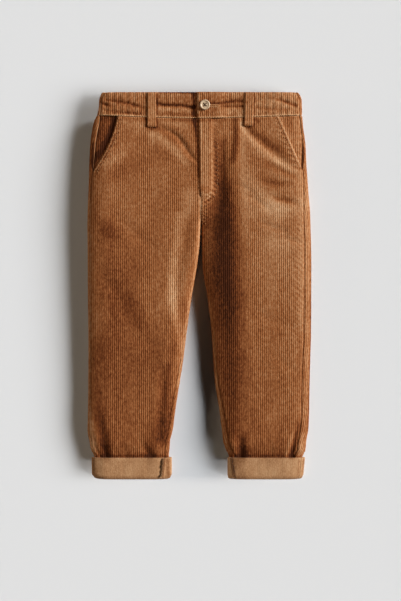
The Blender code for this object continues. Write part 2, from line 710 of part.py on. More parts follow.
def cuff_net(side, part, y, depth):
    """One row of a turn-up at y, depth below its skin."""
    sizes = cuff_section(side, y)
    if part == "front":
        run = top_run(side, y, sizes)
        start = run.s_at(sizes["inner"] + sizes["inseam"]) + 0.5 * GAP
        stop = run.s_at(sizes["outer"] - sizes["side_seam"]) - 0.5 * GAP
        shares = np.linspace(0.0, 1.0, 13)
    else:
        run = under_run(y, sizes)
        start, stop = run.s[0] + 0.5 * GAP, run.s[-1] - 0.5 * GAP
        turn = np.linspace(0.0, 1.0, 20)
        shares = 0.2 * turn + 0.4 * (1.0 - np.cos(math.pi * turn))
    net = []
    for share in shares:
        p, z = run.at(start + share * (stop - start), -depth)
        net.append((share, (side * p, y, z)))
    return net


def cuff(side, part):
    """Front or back half of a turn-up: outer layer, fold and the layer inside the leg."""
    rows = []
    for outer_y, outer_depth, inner_y, inner_depth in cuff_profile():
        outer = cuff_net(side, part, outer_y, outer_depth)
        inner = cuff_net(side, part, inner_y, inner_depth)
        rows.append((outer, inner))
    wall(f"cuff_{part}_{side_name(side)}", "wrong_side", rows)


def seam_allowance(side):
    """Overlocked inseam allowance, which shows on the turned-up hem."""
    rows = []
    for y in (CUFF_TOP_Y - 0.6, -250.0, CUFF_FOLD_Y + CUFF_CORNER, CUFF_FOLD_Y + 2.4):
        sizes = cuff_section(side, y)
        run = top_run(side, y, sizes)
        start = run.s_at(sizes["inner"] + sizes["inseam"]) - 0.4 * ALLOWANCE_WIDTH
        stop = start + ALLOWANCE_WIDTH
        places = [(0, start + share * ALLOWANCE_WIDTH) for share in (0.33, 0.67)]
        depth = -(GAP + ALLOWANCE_WALL + 0.1)
        rows.append(cloth_row(side, y, run, start, stop, places, places, ALLOWANCE_WALL, depth))
    wall("seam_allowance_" + side_name(side), "wrong_side", rows)


def skin_height(side, x, y, lift=None):
    """Height of the top skin at x, y."""
    sizes = section(side, y)
    run = top_run(side, y, sizes, lift)
    return float(np.interp(side * x, run.p, run.z))


def strap(name, x, lean, centre_line, corded):
    """A flat strip with soft edges along a line of (y, z of its underside)."""
    half, soft = 0.5 * LOOP_WIDTH, LOOP_SOFT
    edge = [(-half, soft), (-half + soft, 0.0), (half - soft, 0.0), (half, soft),
            (half, LOOP_THICK - soft)]
    count = 2 * LOOP_CORDS if corded else 2
    for place in range(count + 1):
        ridge = LOOP_CORD_HEIGHT if corded and place % 2 else 0.0
        edge.append((half - soft - place * (LOOP_WIDTH - 2.0 * soft) / count, LOOP_THICK + ridge))
    edge.append((-half, LOOP_THICK - soft))
    bm = bmesh.new()
    top_y = centre_line[0][0]
    length = top_y - centre_line[-1][0]
    rings = []
    for y, z in centre_line:
        shift = x + lean * (top_y - y) / length
        rings.append([bm.verts.new((MM * (shift + u), MM * y, MM * (z + v))) for u, v in edge])
    for ring, following in zip(rings, rings[1:]):
        for place in range(len(edge)):
            after = (place + 1) % len(edge)
            bm.faces.new((ring[place], ring[after], following[after], following[place]))
    bm.faces.new(rings[0])
    bm.faces.new(rings[-1])
    bmesh.ops.triangulate(bm, faces=bm.faces)
    finish(bm, name, "corduroy")


def belt_loops():
    """Front loops bow over the waistband; back loops lie flat under it."""
    for row in FRONT_LOOPS:
        loop = dict(zip(LOOP_COLUMNS, row))
        side = -1 if loop["x"] < 0.0 else 1
        lift = band_lift if side > 0 else None
        ends = loop["end_y"]
        line = []
        for y, above in ((WAIST_Y - 0.2, 1.1), (262.0, 2.3), (250.0, 2.9), (238.0, 2.7),
                         (ends + 6.0, 2.0), (ends, 1.1)):
            place = max(skin_height(side, loop["x"] + u, y, lift) for u in (-6.0, 0.0, 6.0))
            line.append((y, place + above))
        strap(loop["name"], loop["x"], loop["lean"], line, True)
    for row in BACK_LOOPS:
        loop = dict(zip(LOOP_COLUMNS, row))
        line = [(WAIST_Y - 0.2, 1.2), (262.0, 0.1), (238.0, 0.1), (loop["end_y"], 0.1)]
        strap(loop["name"], loop["x"], loop["lean"], line, False)


def button():
    """Four-hole button with a raised rim, turned and then drilled."""
    radius = 0.5 * BUTTON_DIAMETER
    profile = (
        (0.0, 0.0), (radius - 1.2, 0.0), (radius - 0.3, 0.6), (radius, 1.3),
        (radius - 0.3, 2.1), (radius - 0.9, BUTTON_THICK), (radius - BUTTON_RIM, 2.3),
        (radius - BUTTON_RIM - 0.5, BUTTON_THICK - BUTTON_DISH), (0.0, BUTTON_THICK - BUTTON_DISH),
    )
    x, y = BUTTON_AT
    rest = max(skin_height(1, x, y + radius * u, band_lift) for u in (-1.0, -0.5, 0.0, 0.5, 1.0))
    z = rest + WALE_HEIGHT + GAP
    bm = bmesh.new()
    points = [bm.verts.new((MM * r, 0.0, MM * h)) for r, h in profile]
    edges = [bm.edges.new(pair) for pair in zip(points, points[1:])]
    bmesh.ops.spin(bm, geom=points + edges, cent=(0, 0, 0), axis=(0, 0, 1),
                   angle=2.0 * math.pi, steps=18, use_duplicate=False)
    bmesh.ops.remove_doubles(bm, verts=bm.verts, dist=1.0e-6)
    made = finish(bm, "button", "button")
    made.location = (MM * x, MM * y, MM * z)
    for place in range(4):
        turn = math.radians(45.0 + 90.0 * place)
        reach = BUTTON_HOLE_SPACING / math.sqrt(2.0)
        drill = bmesh.new()
        bmesh.ops.create_cone(drill, cap_ends=True, segments=8, radius1=MM * BUTTON_HOLE / 2,
                              radius2=MM * BUTTON_HOLE / 2, depth=MM * 8.0)
        mesh = bpy.data.meshes.new("drill")
        drill.to_mesh(mesh)
        drill.free()
        cutter = bpy.data.objects.new(f"drill_{place}", mesh)
        cutter.location = (MM * (x + reach * math.cos(turn)), MM * (y + reach * math.sin(turn)),
                           MM * (z + 1.0))
        cutter.hide_render = True
        cutter.display_type = "WIRE"
        bpy.context.collection.objects.link(cutter)
        cut = made.modifiers.new(f"hole_{place}", "BOOLEAN")
        cut.object = cutter
        cut.operation = "DIFFERENCE"
        cut.solver = "EXACT"


def main():
    for old in list(bpy.data.objects):
        bpy.data.objects.remove(old, do_unlink=True)
    for side in (-1, 1):
        front(side)
        back(side)
        pocket_facing(side)
        band_front(side)
        cuff(side, "front")
        cuff(side, "back")
        seam_allowance(side)
    band_back()
    fly_zip()
    belt_loops()
    button()


main()
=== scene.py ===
"""Looks of a child's corduroy trousers, laid flat with the cuffs turned up.

Metres, +Z up, waist towards +Y, +X towards the wearer's left. The tables are in millimetres. They
follow the sizes of the CAD part, with small corrections of their own. Each cloth piece is a closed
wall on the shared skin, with every cord modelled. Thread, button and overlocking are meshes too.
"""

import math
from collections import namedtuple
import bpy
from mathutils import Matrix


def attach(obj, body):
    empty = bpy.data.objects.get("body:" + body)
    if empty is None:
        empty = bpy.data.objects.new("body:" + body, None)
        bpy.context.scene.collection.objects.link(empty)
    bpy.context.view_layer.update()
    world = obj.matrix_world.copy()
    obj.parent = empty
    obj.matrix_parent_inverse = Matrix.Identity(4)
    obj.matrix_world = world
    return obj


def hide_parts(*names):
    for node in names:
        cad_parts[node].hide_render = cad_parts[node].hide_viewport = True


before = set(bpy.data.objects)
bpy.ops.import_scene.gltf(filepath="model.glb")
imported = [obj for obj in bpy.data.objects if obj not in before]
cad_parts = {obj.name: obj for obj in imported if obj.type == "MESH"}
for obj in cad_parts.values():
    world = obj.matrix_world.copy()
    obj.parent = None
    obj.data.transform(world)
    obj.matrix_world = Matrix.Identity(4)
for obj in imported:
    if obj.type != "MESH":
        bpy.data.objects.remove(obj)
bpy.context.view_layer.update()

from types import SimpleNamespace

import bpy
import numpy as np
from mathutils import Vector

MM = 0.001
TURN = 2.0 * math.pi
QUARTER = 0.5 * math.pi
NAMES = {-1: "right", 1: "left"}  # the wearer's side, by the sign of x

# Cloth.
WALL = 1.2  # ground cloth
WALE_PITCH = 2.86  # from cord to cord
WALE_HEIGHT = 0.62  # cord above the ground cloth
# One cord's cross section: (place, height), as shares of pitch and height.
CORD_FINE = ((0.0, 0.0), (0.08, 0.42), (0.19, 0.76), (0.33, 0.95),
             (0.5, 1.0), (0.67, 0.95), (0.81, 0.76), (0.92, 0.42))
CORD_PLAIN = ((0.0, 0.0), (0.11, 0.52), (0.28, 0.9), (0.5, 1.0), (0.72, 0.9), (0.89, 0.52))
CORD_LUMP = 0.12  # unevenness along a cord, as a share of its height
CORD_END = 0.25  # height of a cord that is cut at a panel's edge
CORD_CLEARANCE = 2.0  # the cords of the underside point inwards below this height
COLUMN_CLEAR = 0.1  # least distance of an outer column from a panel's edge
PLAIN_CLEAR = 0.4  # and of an inner one
FLAT_NORMAL = 0.97  # the skin bends where its normal is less upright than this
INNER_SINK = 0.6  # the inner face makes way for inward cords by this share of their height
GAP = 0.3  # between pieces at a seam
ROW_STEP = 2.6  # between the rows of a front
BACK_ROW_STEP = 4.0
EDGE_ROWS = (0.0, 0.5, 1.1, 2.0)  # close rows beside the waistband seam
FORK_ROWS = (118.0, 98.0, 82.0, 72.0)  # and rows where the legs part
EDGE_DIP = 1.0  # how far a panel sinks into its seams
FOOT_DIP = 0.45  # and into the waistband seam
EDGE_SOFT = 1.1  # over this width
SIDE_SEAM_DIP = {-1: 0.35, 1: 0.9}  # share of it at each leg's side seam
MOUTH_DIP = 0.35  # at a pocket mouth
CENTRE_DIP = 0.45  # at the fly and the inseam
FORK_DIP = 0.9  # and between these heights, at the fork
FORK_DIP_Y = (60.0, 120.0)
BACK_INSEAM_DIP = 0.8
FACING_DIPS = (0.0, 0.8)  # at a facing's hidden edge, and at the side seam
BAND_DIPS = (0.5, 0.8)  # at a front waistband's end, and at the side seam
PUCKER = 0.38  # ripples along the seams
PUCKER_PITCH = 8.5
PUCKER_REACH = 6.0
PUCKER_PAINTED_LIGHT = 0.9  # painted light: a pucker's crest is coloured lighter and its dip darker, by this share of its height
SEAM_PRESS = 0.6  # share of the cord's height lost at the waistband seam
POCKET_PRESS = 0.65  # and at the topstitching of the pocket mouths
POCKET_PRESS_Y = 150.0  # down to here
FOLD_FADE = 1.3  # how soon folds reach their depth above the widest points
STROKE_REACH = 2.5  # a stroke is left out of rows that are this many widths away

# Places along the garment.
BAND_SEAM_Y = 234.0
WAIST_Y = 267.4
CUFF_TOP_Y = -237.4
CUFF_FOLD_Y = -267.4
LEG_END_Y = -245.0
CENTRE_X = 1.7

# Section across each half.
GRAIN_P = 75.0  # arc lengths, and so the cords, count from here
SIDE_LEVEL = 0.45  # height of the widest points, as a share of the section's
ROUND_OUTER = 32.0
ROUND_UNDER = 10.0
ROUND_UNDER_LEAST = 5.0  # below an inner thigh, and a share of the thigh's own width
ROUND_UNDER_SHARE = 0.25
ELLIPSE = (2.0, 2.0)
SLOPE = {-1: ELLIPSE, 1: (1.4, 1.75)}  # roundness of each inner thigh: an ellipse, or nearly straight

# Silhouette seen from above.
OUTLINE_COLUMNS = ("y", "side_right", "inner_right", "inner_left", "side_left")
OUTLINE = (
    (267.4, -134.2, 1.55, 1.85, 136.3),
    (257.0, -138.5, 1.55, 1.85, 140.5),
    (243.0, -140.4, 1.55, 1.85, 141.4),
    (234.0, -142.2, 1.55, 1.85, 141.8),
    (224.0, -146.4, 1.55, 1.85, 142.4),
    (198.0, -150.8, 1.55, 1.85, 145.9),
    (173.0, -152.1, 1.55, 1.85, 147.3),
    (132.0, -153.5, 1.55, 1.85, 150.1),
    (94.0, -154.7, 1.55, 1.85, 152.9),
    (82.0, -154.9, 0.8, 2.8, 153.3),
    (58.0, -154.6, -0.3, 3.6, 153.9),
    (28.0, -154.4, -4.0, 4.6, 154.2),
    (-15.0, -154.2, -11.4, 11.2, 154.2),
    (-68.0, -153.6, -18.8, 17.6, 154.0),
    (-102.0, -153.5, -23.1, 19.7, 152.8),
    (-137.0, -153.7, -28.6, 22.5, 152.0),
    (-171.0, -154.1, -33.9, 27.9, 151.5),
    (-199.0, -154.9, -37.6, 31.4, 150.1),
    (-216.0, -152.1, -41.5, 33.4, 147.3),
    (-227.0, -150.1, -42.2, 36.9, 146.6),
    (-237.4, -145.2, -43.0, 41.4, 142.0),
    (-245.0, -144.8, -42.6, 42.0, 141.2),
)

# Height of the skin and of the underside, and how wide each inner thigh slopes down.
FORM_COLUMNS = ("y", "crown", "floor", "inner_right", "inner_left", "closed")
FORM = (
    (267.4, 14.8, 3.9, 5.0, 5.0, 0.0),
    (234.0, 15.2, 3.6, 5.0, 5.0, 0.0),
    (224.0, 15.7, 2.4, 5.0, 5.0, 0.0),
    (198.0, 17.0, 0.6, 5.0, 5.0, 0.0),
    (184.0, 17.6, 0.0, 5.0, 5.0, 0.0),
    (132.0, 18.2, 0.0, 5.0, 34.0, 0.0),
    (118.0, 18.2, 0.0, 5.0, 40.0, 0.0),
    (98.0, 18.2, 0.0, 5.0, 44.0, 0.4),
    (82.0, 18.2, 0.0, 5.0, 46.0, 0.9),
    (72.0, 18.1, 0.0, 6.0, 47.0, 1.0),
    (58.0, 18.0, 0.0, 7.0, 48.0, 1.0),
    (28.0, 17.8, 0.0, 12.0, 36.0, 1.0),
    (-15.0, 17.2, 0.0, 22.0, 34.0, 1.0),
    (-68.0, 16.4, 0.0, 28.0, 36.0, 1.0),
    (-171.0, 15.0, 0.0, 28.0, 25.0, 1.0),
    (-216.0, 14.9, 0.3, 26.0, 15.0, 1.0),
    (-237.4, 11.8, 2.7, 24.0, 22.0, 1.0),
    (-245.0, 11.6, 2.9, 24.0, 22.0, 1.0),
)

# How far in from the silhouette each seam lies on the top.
SEAM_COLUMNS = ("y", "side_right", "inseam_right", "inseam_left", "side_left")
SEAMS = (
    (267.4, 3.0, 0.0, 0.0, 3.0),
    (234.0, 4.0, 0.0, 0.0, 3.0),
    (224.0, 7.5, 0.0, 0.0, 2.0),
    (173.0, 6.0, 0.0, 0.0, 5.0),
    (132.0, 4.0, 0.0, 0.0, 6.5),
    (94.0, 3.5, 0.0, 0.0, 9.0),
    (-15.0, 3.0, 0.5, 0.5, 10.0),
    (-171.0, 3.0, 5.5, 5.5, 11.0),
    (-245.0, 3.0, 6.0, 9.0, 12.0),
)

# Fly: edge of the lap, edge of the layer under it, and how far the lap is raised.
FLY_COLUMNS = ("y", "lap_edge", "under_edge", "lift")
FLY = (
    (234.0, -0.6, 8.0, 1.9),
    (136.0, 1.0, 8.0, 1.9),
    (129.0, 1.85, 1.55, 1.9),
    (120.0, 1.85, 1.55, 0.0),
)
FLY_END_Y = 120.0
LAP_FLAT = 13.0
LAP_SLOPE = 9.0

# Slant pocket mouths.
POCKET_COLUMNS = ("top_x", "top_y", "low_x", "low_y", "bow")
POCKETS = {
    -1: dict(zip(POCKET_COLUMNS, (-112.1, 235.7, -149.4, 153.0, 5.5))),
    1: dict(zip(POCKET_COLUMNS, (109.3, 235.7, 143.2, 158.5, 0.6))),
}
POCKET_ROWS = (1.5, 5.6)  # topstitching in from the pocket mouth
FACING_UNDER = 8.0
FACING_DEPTH = {-1: (3.0, 1.3), 1: (1.9, 1.3)}  # below the front at the mouth, and at the side seam
# painted shade over the right facing, in shadow behind its mouth, and a little painted light on the left one
FACING_LIGHT_AND_SHADE = {-1: -0.56, 1: 0.1}
FACING_LOW_Y = 158.0
FACING_SLOPE = 22.0  # width over which a facing sinks from the side seam

# Folds: stations (x, y, depth, width) of a soft trough (depth > 0) or ridge (depth < 0), down each fold.
FOLDS = (
    # wearer's right leg: drag lines to the fly, inner thigh, knee, and gathers over the turn-up
    ((-62, 221, 0.6, 3.0), (-51, 218, 1.4, 3.5), (-40, 212, 2.0, 4.0), (-30, 205, 2.3, 4.0),
     (-23, 196, 2.3, 4.0), (-17, 186, 2.0, 4.0), (-10, 177, 1.6, 3.5), (-4, 169, 0.7, 3.0)),
    ((-15, 175, -0.5, 2.5), (-9, 171, -1.0, 2.5), (-4, 167, -0.8, 2.5)),
    ((-19, 92, 0.5, 9.0), (-22, 60, 0.7, 9.0), (-27, 30, 0.9, 9.5), (-30, 0, 1.2, 10.0),
     (-29, -25, 1.3, 9.5), (-26, -50, 1.0, 8.0), (-24, -75, 0.5, 7.0)),
    ((-132, 22, 0.3, 9.0), (-112, -20, 0.8, 11.0), (-96, -48, 0.6, 10.0), (-82, -66, 0.3, 9.0)),
    ((-118, 98, 0.5, 9.0), (-80, 64, 0.8, 9.0), (-48, 36, 0.4, 9.0)),
    ((-112, -62, 0.5, 8.0), (-84, -76, 0.7, 8.0), (-58, -84, 0.4, 8.0)),
    ((-140, 20, 0.3, 8.0), (-128, 2, 0.7, 8.0), (-112, -6, 0.3, 8.0)),
    ((-136, -182, 0.4, 6.0), (-134, -200, 1.2, 6.5), (-131.5, -220, 2.0, 6.5), (-129, -237, 2.5, 5.0)),
    ((-148, -205, 0.4, 3.5), (-144, -222, 1.1, 3.2), (-137, -237, 1.4, 2.6)),
    ((-52, -115, 0.8, 6.0), (-51, -150, 1.4, 6.0), (-55, -185, 1.8, 6.0), (-54, -210, 1.6, 5.0),
     (-52, -228, 0.8, 4.0)),
    ((-86, -210, 0.4, 5.0), (-76, -224, 1.2, 5.5), (-66, -237, 1.8, 5.0)),
    ((-104, -222, 0.3, 4.0), (-102, -237, 0.9, 4.0)),
    # wearer's left leg: inner thigh, belt loop, drag lines from the pocket, and gathers over the turn-up
    ((32, 206, 0.4, 4.0), (31, 190, 1.2, 5.0), (30, 170, 2.4, 8.0), (28, 150, 3.4, 11.0),
     (27, 132, 4.2, 14.0),
     (24, 114, 4.6, 16.0), (20, 98, 3.2, 16.0), (17, 82, 1.0, 14.0)),
    ((53, 231, -0.7, 4.5), (52.5, 215, -1.1, 5.0), (51, 200, -1.3, 5.0), (50, 185, -1.2, 5.0),
     (49, 165, -0.7, 6.0)),
    ((62, 226, 0.6, 5.0), (66.6, 213, 1.5, 5.5), (73.5, 207, 2.0, 6.0), (85.5, 198, 2.1, 6.3),
     (96.5, 189, 2.0, 6.3), (105, 181, 1.8, 6.2), (114, 174, 1.6, 6.0), (124, 167, 1.2, 5.5),
     (134, 160, 0.5, 4.5)),
    ((88, 206, 0.6, 9.0), (107, 191, 1.1, 9.0), (118, 184, 0.5, 8.0)),
    ((96, 168, 0.6, 4.0), (108, 161, 1.1, 3.8), (120, 156, 1.3, 3.5), (134, 150.5, 0.9, 3.2)),
    ((88, 143, 0.5, 5.0), (105, 139, 1.0, 5.0), (124, 140, 0.6, 4.0)),
    ((98, 124, 0.6, 4.0), (112, 119, 1.2, 3.8), (124, 116, 1.4, 3.6), (136, 112, 0.9, 3.2)),
    ((45, 141, 0.4, 3.0), (60, 136, 0.9, 3.0), (76, 127, 0.5, 3.0)),
    ((58, 128, 0.5, 4.0), (78, 118, 0.9, 4.0), (97, 105, 0.5, 4.0)),
    ((86, 87, 0.5, 4.0), (100, 81, 1.1, 4.0), (116, 76, 0.7, 4.0)),
    ((118, 65, 0.5, 3.0), (130, 62, 1.1, 3.0), (142, 58, 0.7, 3.0)),
    ((72, -32, 0.4, 8.0), (98, -48, 0.7, 8.0), (126, -56, 0.5, 7.0)),
    ((104, -96, 0.3, 6.0), (122, -112, 0.7, 6.0), (138, -120, 0.4, 5.0)),
    ((53, -206, 0.5, 4.5), (57, -221, 1.9, 5.5), (58, -237, 2.9, 5.0)),
    ((44, -216, -0.5, 3.0), (49, -236, -0.9, 3.0)),
    ((136.5, -194, 0.8, 3.2), (131.5, -214, 2.2, 3.6), (127, -237, 3.0, 4.0)),
    ((139.5, -212, -0.5, 2.5), (137, -236, -0.8, 2.5)),
    ((126, -214, -0.4, 3.0), (119, -236, -0.8, 3.0)),
    ((96, -216, 0.3, 5.0), (99, -237, 0.9, 4.5)),
)
BAND_FOLDS = (
    ((-140, 254, 1.0, 2.5), (-130, 249.5, 1.6, 2.2), (-122, 249, 0.6, 2.0)),
    ((-128, 257, 0.6, 2.2), (-112, 254.5, 1.6, 2.2), (-98, 252.5, 1.7, 2.2), (-88, 249, 1.4, 2.2),
     (-78, 246.5, 0.8, 2.0)),
    ((-132, 241, 0.5, 2.2), (-114, 240, 1.0, 2.2), (-98, 238.5, 1.2, 2.2), (-82, 237.5, 0.6, 2.0)),
    ((-60, 253, 1.4, 2.5), (-50, 249.8, 1.9, 2.2), (-38, 249.2, 1.9, 2.2), (-28, 249.8, 1.8, 2.2),
     (-16, 248.2, 1.9, 2.2), (-6, 247, 1.8, 2.2)),
    ((27, 252.0, 1.0, 2.0), (34, 253.0, 1.6, 2.0), (44, 255, 1.6, 2.0), (60, 255.5, 1.2, 2.0)),
    ((30, 247.8, 0.8, 1.8), (44, 248.6, 1.2, 1.8), (60, 248.2, 1.2, 1.8)),
    ((76, 256, 0.6, 2.2), (96, 256.5, 0.8, 2.2)),
    ((80, 246, 0.5, 2.2), (100, 244, 0.9, 2.2), (122, 243, 0.5, 2.2)),
    ((106, 257.5, 0.9, 2.2), (118, 254.5, 1.7, 2.2), (132, 249.3, 1.8, 2.2)),
)

# The waistband seam hangs lowest at the fly.
SEAM_DIP = 4.6
SEAM_DIP_REACH = 30.0  # above and below the seam
SEAM_DIP_HALF = 140.0  # from the fly to the sides
SEAM_DIP_SHIFT = 0.68
